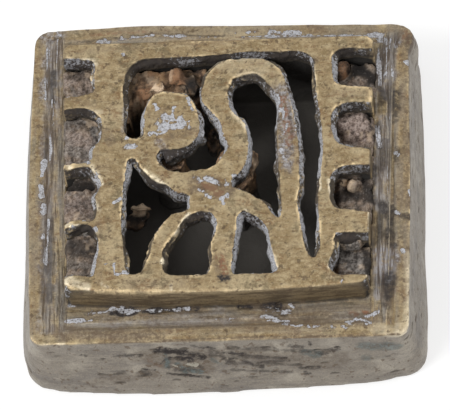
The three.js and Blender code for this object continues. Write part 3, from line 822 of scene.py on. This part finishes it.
def box_cuts():
    """Thin blocks between the floor, the walls, the rim threads and the sheet. Where two of them meet they
    overlap, so that the pieces come apart."""
    beyond = 2.0
    over = CLEAR + KERF
    side = high("back_rim_thread")[0]
    edge = side + KERF
    far = high("back_wall")[1] + beyond
    floor_level, seat_level, rim_level = FLOOR_TOP + 4 * CLEAR, SEAT + KERF, RIM_TOP + REACH
    bar_side, bar_back = high("back_bar")[:2]
    cavity_x, cavity_y = CAVITY
    two_sided = [
        ((cavity_x - over, -cavity_y, -beyond), (cavity_x - CLEAR, cavity_y, floor_level)),
        ((-cavity_x, cavity_y - over, -beyond), (cavity_x, cavity_y - CLEAR, floor_level)),
        ((cavity_x - REACH, -far, SEAT), (THREAD_X + over, far, seat_level)),
        ((-THREAD_X, cavity_y - REACH, SEAT), (THREAD_X, THREAD_Y + over, seat_level)),
        ((THREAD_X + CLEAR, -far, SEAT), (THREAD_X + over, far, rim_level)),
        ((-edge, THREAD_Y + CLEAR, SEAT), (edge, THREAD_Y + over, rim_level)),
    ]
    cuts = []
    for sign in (-1, 1):
        cuts += turned(two_sided, (sign, sign, 1))
        for end in (-1, 1):
            thread_start = bar_back if end > 0 else cavity_y + REACH
            cornered = [
                ((side, cavity_y - over, -beyond), (edge, far, seat_level)),
                ((side, thread_start, SEAT), (edge, far, rim_level)),
                ((cavity_x - 3 * REACH, cavity_y - over, -beyond), (edge, cavity_y - CLEAR, seat_level)),
                ((cavity_x - over, cavity_y - 3 * REACH, -beyond), (cavity_x - CLEAR, cavity_y, seat_level)),
            ]
            cuts += turned(cornered, (sign, end, 1))
        hand = "left" if sign < 0 else "right"
        along = ["back_bar", *(f"{hand}_tooth_{number}" for number in (1, 2, 3)), "front_bar"]
        for behind, before in zip(along, along[1:]):
            middle = (low(behind)[1] + high(before)[1]) / 2
            start, stop = (sign * (side - REACH), middle), (sign * (bar_side + over), middle + KERF)
            cuts.append(span((*start, SEAT - KERF), (*stop, rim_level)))
    cuts.append(hull_ring(SHEET, SEAT, RIM_TOP + 3 * REACH))
    return cuts


def parted(mesh):
    """The skin cut along every joint."""
    cutters = bpy.data.collections.new("cutters")
    bpy.context.scene.collection.children.link(cutters)
    for corners, faces in box_cuts() + joint_cuts(SHEET):
        tool = new_mesh("cutter", corners, faces)
        shape = bmesh.new()
        shape.from_mesh(tool)
        bmesh.ops.recalc_face_normals(shape, faces=shape.faces)
        shape.to_mesh(tool)
        shape.free()
        cutters.objects.link(bpy.data.objects.new("cutter", tool))
    settings = {"operation": "DIFFERENCE", "solver": "MANIFOLD", "operand_type": "COLLECTION"}
    result = modified(mesh, "BOOLEAN", collection=cutters, **settings)
    for tool in list(cutters.objects):
        bpy.data.objects.remove(tool)
    bpy.data.collections.remove(cutters)
    return result


def loose_groups(count, ends):
    """A number for each point, alike for all the points of one loose part."""
    group = np.arange(count)
    while True:
        lower = np.minimum(group[ends[:, 0]], group[ends[:, 1]])
        fresh = group.copy()
        np.minimum.at(fresh, ends[:, 0], lower)
        np.minimum.at(fresh, ends[:, 1], lower)
        fresh = fresh[fresh]
        if np.array_equal(fresh, group):
            return group
        group = fresh


def brass_pieces():
    """The casting cut into one mesh for each node. Each loose part goes to the node that it lies on."""
    sample_size = 150
    mesh, skin = brass_skin()
    settled, masks = brass_relief(skin)
    cut = parted(mesh)

    # Each point of the cut skin moves with the point that it was, or, if a cut made it, with the nearest one
    points = places(cut)
    source = np.zeros(len(points), np.int32)
    cut.attributes["source"].data.foreach_get("value", source)
    source -= 1
    fresh = np.flatnonzero(source < 0)
    tree = KDTree(skin.count)
    for index, point in enumerate(skin.points.tolist()):
        tree.insert(point, index)
    tree.balance()
    for index in fresh.tolist():
        source[index] = tree.find(points[index])[1]
    moved = points + (settled - skin.points)[source]
    made_by_cut = np.zeros(len(points), bool)
    made_by_cut[fresh] = True

    # Which node each loose part lies on, by the votes of some of its points
    corners, triangles, owner = joined(BRASS)
    cad = BVHTree.FromPolygons(corners.tolist(), triangles.tolist())
    group = loose_groups(len(points), edge_ends(cut))
    polygons = [list(polygon.vertices) for polygon in cut.polygons]
    first = np.array([polygon[0] for polygon in polygons])
    belongs = np.zeros(len(points), int)
    for label in np.unique(group):
        members = np.flatnonzero(group == label)
        sample = members[:: max(1, len(members) // sample_size)]
        votes = [owner[cad.find_nearest(points[index])[2]] for index in sample.tolist()]
        belongs[members] = np.bincount(votes, minlength=len(BRASS)).argmax()

    pieces = {}
    for number, name in enumerate(BRASS):
        chosen = np.flatnonzero(belongs[first] == number)
        used = np.flatnonzero(belongs == number)
        place = np.full(len(points), -1)
        place[used] = np.arange(len(used))
        faces = [[int(place[corner]) for corner in polygons[index]] for index in chosen.tolist()]
        piece = new_mesh(name, moved[used] * MM, faces)
        caps = np.array([made_by_cut[polygons[index]].all() for index in chosen.tolist()])
        flat = piece.attributes.new("sharp_face", "BOOLEAN", "FACE")
        flat.data.foreach_set("value", caps)
        write_masks(piece, masks, source[used])
        pieces[name] = piece
    return pieces


# Materials


def paint(red, green, blue):
    """A colour written as it looks, from 0 to 255, as the shader takes it."""
    parts = [value / 255 for value in (red, green, blue)]
    return tuple(p / 12.92 if p <= 0.04045 else ((p + 0.055) / 1.055) ** 2.4 for p in parts) + (1.0,)


class Finish:
    """A material with short names for the nodes that it uses. Lengths are millimetres."""

    def __init__(self, name):
        self.material = bpy.data.materials.new(name)
        self.material.use_nodes = True
        self.tree = self.material.node_tree
        self.shader = self.tree.nodes["Principled BSDF"]
        where = self.node("TexCoord", {})
        scaled = self.node("VectorMath", {0: where.outputs["Object"], "Scale": 1 / MM}, operation="SCALE")
        self.place = scaled.outputs[0]

    def give(self, node, values):
        """Sets a node's inputs to numbers, or links them to the outputs of other nodes."""
        for key, value in values.items():
            if isinstance(value, bpy.types.NodeSocket):
                self.tree.links.new(value, node.inputs[key])
            else:
                node.inputs[key].default_value = value

    def node(self, kind, values, **settings):
        """A new node with its inputs and its settings."""
        node = self.tree.nodes.new("ShaderNode" + kind)
        for key, value in settings.items():
            setattr(node, key, value)
        self.give(node, values)
        return node

    def noise(self, size, detail=3, roughness=0.55, stretch=None):
        place = self.place
        if stretch is not None:
            place = self.node("VectorMath", {0: place, 1: stretch}, operation="MULTIPLY").outputs[0]
        values = {"Vector": place, "Scale": 1 / size, "Detail": detail, "Roughness": roughness}
        return self.node("TexNoise", values).outputs["Fac"]

    def cells(self, size):
        return self.node("TexVoronoi", {"Vector": self.place, "Scale": 1 / size}).outputs["Distance"]

    def mask(self, name):
        return self.node("Attribute", {}, attribute_name=name).outputs["Fac"]

    def ramp(self, value, start, end, low=0.0, high=1.0):
        values = {"Value": value, "From Min": start, "From Max": end, "To Min": low, "To Max": high}
        return self.node("MapRange", values, interpolation_type="SMOOTHSTEP").outputs["Result"]

    def total(self, one, two):
        return self.node("Math", {0: one, 1: two}, operation="ADD").outputs[0]

    def product(self, one, two):
        return self.node("Math", {0: one, 1: two}, operation="MULTIPLY").outputs[0]

    def largest(self, first, *others):
        for other in others:
            first = self.node("Math", {0: first, 1: other}, operation="MAXIMUM").outputs[0]
        return first

    def thinned(self, name, noise, start, end, low=0.0, high=1.0):
        """A mask that a noise makes weaker in places."""
        return self.product(self.mask(name), self.ramp(noise, start, end, low, high))

    def torn(self, name, noise, start=0.44, end=0.56):
        """A mask with its outline torn by noise."""
        return self.ramp(self.total(self.mask(name), self.ramp(noise, 0.3, 0.7, -0.42, 0.42)), start, end)

    def mix(self, share, one, two):
        return self.node("Mix", {0: share, 6: one, 7: two}, data_type="RGBA", clamp_factor=True).outputs[2]

    def blend(self, share, one, two):
        return self.node("Mix", {0: share, 2: one, 3: two}, data_type="FLOAT", clamp_factor=True).outputs[0]

    def mottled(self, colour, spots):
        """A colour with others over it, each where a noise goes from start to end, up to a strength."""
        for noise, start, end, most, other in spots:
            colour = self.mix(self.ramp(noise, start, end, 0.0, most), colour, other)
        return colour

    def coated(self, colour, coats):
        """A colour with others over it, each as strong as its mask."""
        for share, other in coats:
            colour = self.mix(share, colour, other)
        return colour

    def bump(self, height, depth):
        node = self.node("Bump", {"Distance": depth * MM, "Strength": 1, "Height": height})
        self.give(self.shader, {"Normal": node.outputs["Normal"]})


# How metallic clean brass is, how rough earth and clay are, and the depth of the finest marks in millimetres
BRASS_METALLIC = 0.7
EARTH_ROUGHNESS = 0.88
CLAY_ROUGHNESS = 0.92
BRASS_BUMP = 0.045
CLAY_BUMP = 0.09

# Colours of the brass, of what lies on it and of the clay, and of the painted highlights and painted shade
TAN = paint(176, 155, 119)
TAN_PALE = paint(198, 179, 143)
TAN_DEEP = paint(158, 137, 101)
# TAN_BRIGHT: paler worn brass on edges, partly a painted highlight
TAN_BRIGHT = paint(232, 208, 164)
OLIVE = paint(134, 120, 92)
FLANK = paint(152, 136, 108)
FLANK_DARK = paint(112, 98, 78)
RIM_GREY = paint(150, 144, 135)
RAIL_PALE = paint(182, 180, 178)
RAIL_DARK = paint(92, 82, 72)
ASH = paint(162, 160, 162)
ASH_DEEP = paint(86, 74, 66)
STAIN = paint(98, 82, 66)
GREEN = paint(108, 118, 116)
GREEN_DEEP = paint(76, 78, 74)
PALE = paint(170, 164, 150)
WALL_GREY = paint(147, 139, 128)
WALL_PALE = paint(166, 158, 145)
WALL_DEEP = paint(136, 128, 117)
WALL_DARK = paint(108, 102, 98)
# CREAM is the colour of the painted highlights
CREAM = paint(250, 236, 206)
CRUST = paint(182, 183, 188)
CRUST_DEEP = paint(120, 116, 114)
# LIP_DARK: painted shade down the walls of the openings
LIP_DARK = paint(62, 56, 50)
RUST = paint(132, 92, 66)
BROWN = paint(138, 108, 76)
GRIME = paint(60, 53, 46)
DARK = paint(48, 42, 40)
# painted shade inside the box: darker high up, lighter deep down
INSIDE_PAINTED_SHADE = paint(48, 45, 42)
DEEP_PAINTED_SHADE = paint(88, 84, 79)
CLAY_BROWN = paint(176, 142, 110)
CLAY_DEEP = paint(100, 80, 65)
CLAY_YELLOW = paint(170, 140, 102)
CLAY_GREY = paint(156, 149, 142)
CLAY_GREY_DEEP = paint(92, 85, 79)
CLAY_WARM = paint(150, 112, 82)
CLAY_ROSY = paint(178, 160, 150)
CLAY_ROSY_DEEP = paint(128, 110, 100)
CLAY_PALE = paint(232, 206, 176)
CLAY_GRAIN = paint(196, 190, 184)
CLAY_PORE = paint(40, 34, 30)
CLAY_DARK = paint(36, 31, 28)
CLAY_HOLLOW = paint(28, 24, 22)


def aged_brass(name):
    """Cast brass, tan where it is handled and grey-brown on the walls, with grime in its hollows, worn edges
    that are paler and partly painted as highlights, cream painted highlights, painted shade down the opening
    walls and inside the box, pale earthy crusts, rusty spots and dark stains."""
    make = Finish(name)
    broad = make.noise(2.6, 3)
    middle = make.noise(0.8, 5, 0.7)
    fine = make.noise(0.13, 3, 0.7)
    fleck = make.noise(0.24, 3, 0.6)
    rough = make.noise(0.3, 4, 0.7)
    scratchy = make.noise(0.35, 3)
    drawn = make.noise(0.4, 4, 0.65, stretch=(0.14, 0.14, 1.8))
    brushed = make.noise(0.42, 5, 0.72, stretch=(0.4, 1.3, 1))
    lines_across = make.noise(0.3, 4, 0.7, stretch=(0.12, 2, 1))
    lines_along = make.noise(0.3, 4, 0.7, stretch=(2, 0.12, 1))
    lines = make.blend(make.mask("beside"), lines_across, lines_along)
    crusty = make.blend(make.mask("rail"), make.noise(0.24, 4, 0.7), lines)
    flaky = make.blend(make.mask("rail"), make.noise(0.45, 3, 0.6), lines)
    smear = make.blend(make.product(make.mask("rail"), 0.5), make.noise(0.34, 5, 0.75), lines)
    algae = make.mix(make.ramp(rough, 0.42, 0.62), GREEN_DEEP, GREEN)

    tan = make.mottled(make.mix(make.ramp(middle, 0.38, 0.62), TAN_DEEP, TAN), (
        (broad, 0.5, 0.66, 0.9, TAN_PALE),
        (make.noise(1.3, 4, 0.6), 0.52, 0.66, 0.85, OLIVE),
        (make.noise(1.7, 5, 0.7), 0.54, 0.66, 0.7, BROWN),
        (brushed, 0.53, 0.66, 0.85, TAN_PALE),
        (brushed, 0.46, 0.32, 0.8, BROWN),
        (fleck, 0.54, 0.64, 0.6, TAN_PALE),
        (fleck, 0.43, 0.33, 0.45, STAIN),
    ))
    grey = make.mottled(make.mix(make.ramp(drawn, 0.34, 0.66), WALL_DEEP, WALL_GREY), (
        (broad, 0.48, 0.7, 1, WALL_PALE),
        (make.noise(1.9, 5, 0.65, stretch=(0.5, 0.5, 1.6)), 0.5, 0.66, 0.5, WALL_DARK),
    ))
    colour = make.coated(tan, (
        (make.mask("wall"), grey),
        (make.mask("flank"), make.mix(make.ramp(lines, 0.42, 0.6), FLANK_DARK, FLANK)),
        (make.thinned("rim", middle, 0.3, 0.6, 0.6), RIM_GREY),
        (make.thinned("rail", lines, 0.52, 0.4, 0.0, 0.8), RAIL_DARK),
        (make.thinned("rail", lines, 0.56, 0.7, 0.0, 0.7), RAIL_PALE),
        (make.ramp(fine, 0.6, 0.3, 0.0, 0.24), GRIME),
        (make.ramp(fine, 0.56, 0.72, 0.0, 0.2), TAN_PALE),
    ))

    grime = make.thinned("hollow", middle, 0.3, 0.6, 0.45, 0.9)
    earth = make.thinned("brown", rough, 0.34, 0.6, 0.2)
    ash = make.thinned("ashen", rough, 0.34, 0.54, 0.3)
    rust = make.thinned("rust", make.noise(0.3, 4, 0.65), 0.42, 0.54)
    # dark stains together with painted shade on the far walls of the openings
    stain_and_painted_shade = make.thinned("dark", smear, 0.38, 0.55, 0.2)
    crust = make.largest(make.torn("white", flaky), make.product(make.torn("crusted", crusty), 0.95))
    colour = make.coated(colour, (
        (grime, GRIME),
        # painted shade down the walls of the openings
        (make.product(make.mask("lip"), 0.9), LIP_DARK),
        # worn edges, paler brass that is partly a painted highlight
        (make.thinned("edge", scratchy, 0.34, 0.56), TAN_BRIGHT),
        # painted cream highlights along edges
        (make.thinned("painted_highlight", scratchy, 0.3, 0.5, 0.2), CREAM),
        (earth, STAIN),
        (ash, make.mix(make.ramp(crusty, 0.38, 0.62), ASH_DEEP, ASH)),
        (make.thinned("green", rough, 0.34, 0.5, 0.4), algae),
        (rust, RUST),
        (make.product(make.torn("white", flaky, 0.26, 0.42), 0.7), STAIN),
        (stain_and_painted_shade, DARK),
        (make.torn("pale", rough), PALE),
        (crust, make.mix(make.ramp(fine, 0.36, 0.56), CRUST_DEEP, CRUST)),
        # painted shade on the far walls of the openings
        (make.product(make.mask("far"), 0.5), DARK),
        # painted shade inside the box, lighter deep down to offset the floor's own shade
        (make.mask("painted_shade"), make.mix(make.mask("deep"), INSIDE_PAINTED_SHADE, DEEP_PAINTED_SHADE)),
    ))

    earthy = make.largest(crust, rust, stain_and_painted_shade, make.mask("painted_shade"), grime, make.mask("lip"), earth, ash)
    shine = make.ramp(middle, 0.3, 0.7, 0.42, 0.56)
    make.give(make.shader, {
        "Base Color": colour,
        "Metallic": make.blend(earthy, BRASS_METALLIC, 0.0),
        "Roughness": make.blend(earthy, shine, EARTH_ROUGHNESS),
    })
    make.bump(make.total(make.product(fine, 0.6), make.product(make.cells(0.3), 0.2)), BRASS_BUMP)
    return make.material


def fired_clay(name):
    """Broken clay, brown with pale, orange, grey and dark places (partly painted shadow), darkened with
    painted shade where it is deep in the box.
    """
    make = Finish(name)
    middle = make.noise(0.55, 4, 0.65)
    fine = make.noise(0.15, 4, 0.75)
    coarse = make.noise(0.3, 4, 0.7)
    colour = make.mix(make.ramp(middle, 0.36, 0.62), CLAY_DEEP, CLAY_BROWN)
    colour = make.coated(colour, (
        (make.ramp(make.noise(1.6, 3), 0.5, 0.66, 0.0, 0.6), CLAY_YELLOW),
        (make.mask("grey"), make.mix(make.ramp(coarse, 0.36, 0.64), CLAY_GREY_DEEP, CLAY_GREY)),
        (make.thinned("warm", coarse, 0.34, 0.5), CLAY_WARM),
        (make.mask("rosy"), make.mix(make.ramp(coarse, 0.4, 0.6), CLAY_ROSY_DEEP, CLAY_ROSY)),
        # dark places: partly core dark with charcoal, partly painted shadow
        (make.mask("dark"), CLAY_DARK),
        (make.ramp(fine, 0.52, 0.34, 0.0, 0.45), CLAY_PORE),
        (make.ramp(fine, 0.6, 0.7, 0.0, 0.4), CLAY_GRAIN),
        (make.product(make.mask("hollow"), 0.6), CLAY_HOLLOW),
        (make.thinned("pale", coarse, 0.32, 0.46), CLAY_PALE),
        # painted shade where the clay lies deep in the box
        (make.mask("painted_shade"), DEEP_PAINTED_SHADE),
    ))
    make.give(make.shader, {"Base Color": colour, "Roughness": CLAY_ROUGHNESS, "Metallic": 0})
    make.bump(fine, CLAY_BUMP)
    return make.material


# Clay: the size of the cells of its skin, how deep its faces, cracks and grit are, how far it fills the
# notches and is heaped there, and how far it is sunk where it has fallen out
CLAY_VOXEL = 0.12
FACE_DEPTH = 0.18
CRACK_DEPTH = 0.1
GRIT_DEPTH = 0.08
NOTCH_FILL = 0.26
HEAPED, HEAPED_MORE = 0.25, 0.35
SUNK_DEPTH = 2.4

# The back piece leans on the wall and rises towards it
LEANS_BACK, RISES = 0.5, 0.6

# Lumps of the core, placed by the pixels of the photograph. For each node: the pixel, the height, the half
# sizes and what is on it. A dark lump is partly core dark with charcoal and partly painted shadow deep in
# the openings.
LUMPS = {
    "core_back": (
        (159, 91, 6.95, (0.62, 0.42, 0.34), "pale"),
        (177, 84, 6.7, (0.7, 0.5, 0.5), "warm"),
        (144, 98, 6.4, (0.7, 0.6, 0.5), "warm"),
        (193, 92, 6.5, (0.6, 0.7, 0.5), "dark"),
    ),
    "core_left": (
        (138, 209, 5.5, (0.85, 0.42, 0.45), "pale"),
        (136, 222, 4.4, (1.2, 0.8, 0.9), "dark"),
    ),
    "core_under_head": (
        (173, 157, 5.8, (0.8, 0.6, 0.8), "grey"),
    ),
    "core_under_body": (
        (214, 142, 5.2, (0.6, 1.0, 1.2), "dark"),
        (252, 160, 6.5, (0.5, 0.8, 0.5), "pale"),
    ),
    "core_right": (
        (342, 72, 6.4, (0.45, 0.55, 0.5), "warm"),
        (353, 128, 6.2, (1.3, 1.1, 0.7), "grey"),
        (350, 245, 6.9, (1.0, 0.45, 0.45), "grey"),
        (353, 186, 6.5, (0.42, 0.34, 0.4), "pale"),
        (344, 182, 6.4, (0.26, 0.22, 0.3), "pale"),
    ),
}

# Coloured and sunken places of the clay; the dark ones are partly core dark with charcoal and partly painted
# shadow at the far ends of the notches. For each kind: the height, the two ends of the middle line by their
# pixels, its half width in pixels and its strength.
CLAY_PATCHES = {
    "dark": (
        (6.5, 135, 112, 137, 135, 8, 0.8), (6.7, 128, 76, 133, 96, 5, 0.6), (6.7, 186, 84, 200, 74, 4, 0.5),
        (6.9, 68, 70, 89, 70, 4, 1), (6.9, 70, 111, 90, 110, 4, 0.7), (6.9, 66, 184, 92, 184, 6, 0.9),
        (6.9, 66, 205, 92, 210, 8, 0.35), (6.9, 72, 246, 90, 254, 10, 0.8), (6.9, 70, 266, 90, 268, 6, 0.4),
        (6.3, 334, 56, 374, 60, 7, 0.8), (6.3, 357, 68, 372, 80, 8, 1), (6.9, 70, 124, 92, 126, 6, 0.3),
        (6.4, 366, 116, 374, 138, 3, 0.7), (6.9, 66, 112, 92, 111, 5, 0.6), (6.9, 70, 80, 90, 78, 5, 0.5),
        (6.3, 364, 244, 368, 270, 4, 0.9), (6.3, 336, 172, 372, 176, 8, 0.9),
        (6.3, 336, 196, 372, 198, 7, 0.8), (6.3, 362, 180, 372, 200, 6, 0.9),
        (6.3, 340, 238, 372, 240, 6, 0.5), (6.3, 368, 246, 374, 264, 6, 0.8),
    ),
    "grey": (
        (6.9, 66, 86, 92, 86, 8, 0.5), (6.9, 68, 118, 94, 118, 9, 0.9), (6.9, 70, 152, 92, 154, 7, 0.9),
        (6.9, 70, 132, 72, 146, 5, 0.8), (6.9, 94, 122, 96, 148, 4, 1), (6.9, 68, 173, 92, 174, 6, 1),
        (6.9, 66, 232, 93, 232, 8, 1), (6.9, 68, 266, 92, 268, 6, 0.8), (6.4, 334, 110, 372, 114, 6, 0.8),
        (6.3, 338, 246, 362, 266, 14, 1),
    ),
    "rosy": (
        (6.4, 344, 128, 366, 130, 14, 0.9), (6.9, 70, 82, 92, 84, 10, 0.4), (6.9, 76, 140, 88, 144, 8, 0.4),
        (6.9, 68, 206, 92, 208, 9, 0.5),
    ),
    "sunk": (
        (6.5, 135, 112, 137, 135, 8, 1), (6.9, 70, 186, 90, 186, 5, 0.3),
    ),
    "warm": (
        (6.7, 150, 74, 172, 74, 6, 0.7), (6.4, 347, 137, 347, 138, 3, 1),
    ),
}


def lump(centre, halves):
    """An uneven ball."""
    ball = bmesh.new()
    bmesh.ops.create_icosphere(ball, subdivisions=3, radius=1)
    corners = np.array([vertex.co for vertex in ball.verts]) * halves
    corners = corners * (1 + 0.4 * layered(corners + centre, 0.6, 171, 2))[:, None] + centre
    faces = np.array([[vertex.index for vertex in face.verts] for face in ball.faces])
    ball.free()
    return corners, faces


def clay_piece(name):
    """A CAD node of the core as broken rock, with its lumps. In the notches it lies close to the brass."""
    corners, triangles = node_arrays(name)
    lumps = [
        (seen_at((across, down), height), np.array(halves), kind)
        for across, down, height, halves, kind in LUMPS.get(name, ())
    ]
    for centre, halves, kind in lumps:
        more, faces = lump(centre, halves)
        triangles = np.vstack((triangles, faces + len(corners)))
        corners = np.vstack((corners, more))
    mesh = remeshed(name, corners, triangles, CLAY_VOXEL)
    skin = Skin(mesh)
    flat = skin.softened(skin.points, 3)
    normals = skin.directions(flat)
    x, y, z = flat.T
    wander = layered(flat, 0.8, 151, 3)
    masks = {kind: np.zeros(len(flat)) for kind in ("pale", *CLAY_PATCHES)}
    in_plan = (1, 1, 0)
    for kind, patches in CLAY_PATCHES.items():
        for height, x0, y0, x1, y1, half_width, strength in patches:
            start, end = seen_at((x0, y0), height) * in_plan, seen_at((x1, y1), height) * in_plan
            lay_patch(masks[kind], flat * in_plan, wander, start, end, half_width, strength)
    for centre, halves, kind in lumps:
        gap = np.linalg.norm((flat - centre) / halves, axis=1)
        masks[kind] = np.maximum(masks[kind], ramp(gap + 0.3 * wander, 1.25, 0.9))

    notch = ramp(np.abs(x), 8.0, 8.4) * ramp(z, SEAT, SEAT + 1)
    rock = nearest_seed(flat + 0.25 * layered(flat, 1.1, 111, 2)[:, None], 1.0, 101)
    crag = np.abs(layered(flat, 0.7, 121, 3))
    relief = -FACE_DEPTH * ramp(rock, 0.3, 0.8) - CRACK_DEPTH * ramp(crag, 0.15, 0.0)
    relief -= GRIT_DEPTH * (noise(flat, 0.3, 131) * 0.5 + 0.5)
    relief *= ramp(z, FLOOR_TOP, FLOOR_TOP + 0.6)
    relief += NOTCH_FILL * notch
    settled = flat + normals * relief[:, None]
    heap = HEAPED + HEAPED_MORE * layered(flat * in_plan, 1.3, 161, 3)
    settled[:, 2] += notch * ramp(normals[:, 2], 0.2, 0.8) * heap
    settled[:, 2] -= SUNK_DEPTH * masks.pop("sunk") * ramp(z, 2, 6)
    if name == "core_back":
        settled[:, 1] += LEANS_BACK * ramp(y, 7.3, 8.0)
        settled[:, 2] += RISES * ramp(z, 4.6, 6.0) * ramp(y, 5.2, 7.4)
    settled[:, 2] = np.clip(settled[:, 2], FLOOR_TOP, None)
    masks["hollow"] = ramp(skin.proud(settled, CLAY_ROUNDS), -0.01, -0.05)
    masks["grey"] = np.maximum(masks["grey"], 0.65 * notch)
    # painted shade, darker towards the floor of the box
    masks["painted_shade"] = ramp(z, 5.4, 2.6)
    masks["pale"] = np.maximum(masks["pale"], 0.4 * ramp(layered(flat, 0.9, 141, 3), 0.3, 0.45))
    mesh.vertices.foreach_set("co", (settled * MM).astype(np.float32).ravel())
    write_masks(mesh, masks)
    return mesh


# Stage and light: white paper that glows a little where the camera sees it, lit by the world and two lamps.
# Each lamp has its place and its size in metres, and its power in watts.
PAPER = 0.42
PAPER_GLOW = 0.62
PAPER_REACH = 1.5
WORLD_LIGHT = 0.55
LAMPS = {
    "key": ((-0.2, -0.14, 0.3), 0.16, 0.9),
    "fill": ((0.24, 0.12, 0.28), 0.2, 0.35),
}


def make_stage():
    stage = Finish("paper")
    stage.give(stage.shader, {"Base Color": (PAPER, PAPER, PAPER, 1), "Roughness": 1})
    plain = stage.shader.outputs[0]
    glow = stage.node("Emission", {"Strength": PAPER_GLOW})
    path = stage.node("LightPath", {})
    seen = stage.largest(path.outputs["Is Camera Ray"], path.outputs["Is Glossy Ray"])
    both = stage.node("AddShader", {0: plain, 1: glow.outputs[0]})
    choice = stage.node("MixShader", {0: seen, 1: plain, 2: both.outputs[0]})
    stage.give(stage.tree.nodes["Material Output"], {"Surface": choice.outputs[0]})
    corners = np.array([(-1, -1, 0), (1, -1, 0), (1, 1, 0), (-1, 1, 0)]) * PAPER_REACH
    mesh = new_mesh("paper", corners, [(0, 1, 2, 3)])
    mesh.materials.append(stage.material)
    paper = bpy.data.objects.new("paper", mesh)
    bpy.context.scene.collection.objects.link(paper)


def area_light(name, place, size, power):
    """A lamp that shines at the middle of the table."""
    data = bpy.data.lights.new(name, "AREA")
    data.size = size
    data.energy = power
    light = bpy.data.objects.new(name, data)
    light.location = place
    light.rotation_mode = "QUATERNION"
    light.rotation_quaternion = Vector(place).to_track_quat("Z", "Y")
    bpy.context.scene.collection.objects.link(light)


def make_light():
    world = bpy.data.worlds.new("studio")
    bpy.context.scene.world = world
    world.use_nodes = True
    background = world.node_tree.nodes["Background"]
    background.inputs["Color"].default_value = (1, 1, 1, 1)
    background.inputs["Strength"].default_value = WORLD_LIGHT
    for name, (place, size, power) in LAMPS.items():
        area_light(name, place, size, power)
    bpy.context.scene.view_settings.view_transform = "Standard"


def show(mesh, name, material):
    """Puts a dressed piece in the place of its CAD node."""
    piece = bpy.data.objects.new("skin_" + name, mesh)
    bpy.context.scene.collection.objects.link(piece)
    mesh.materials.clear()
    mesh.materials.append(material)
    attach(piece, "root")
    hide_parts(name)


make_camera()
brass = aged_brass("aged_brass")
clay = fired_clay("fired_clay")
for name, mesh in brass_pieces().items():
    show(mesh, name, brass)
for name in CLAY:
    mesh = clay_piece(name)
    for polygon in mesh.polygons:
        polygon.use_smooth = True
    show(mesh, name, clay)
make_stage()
make_light()
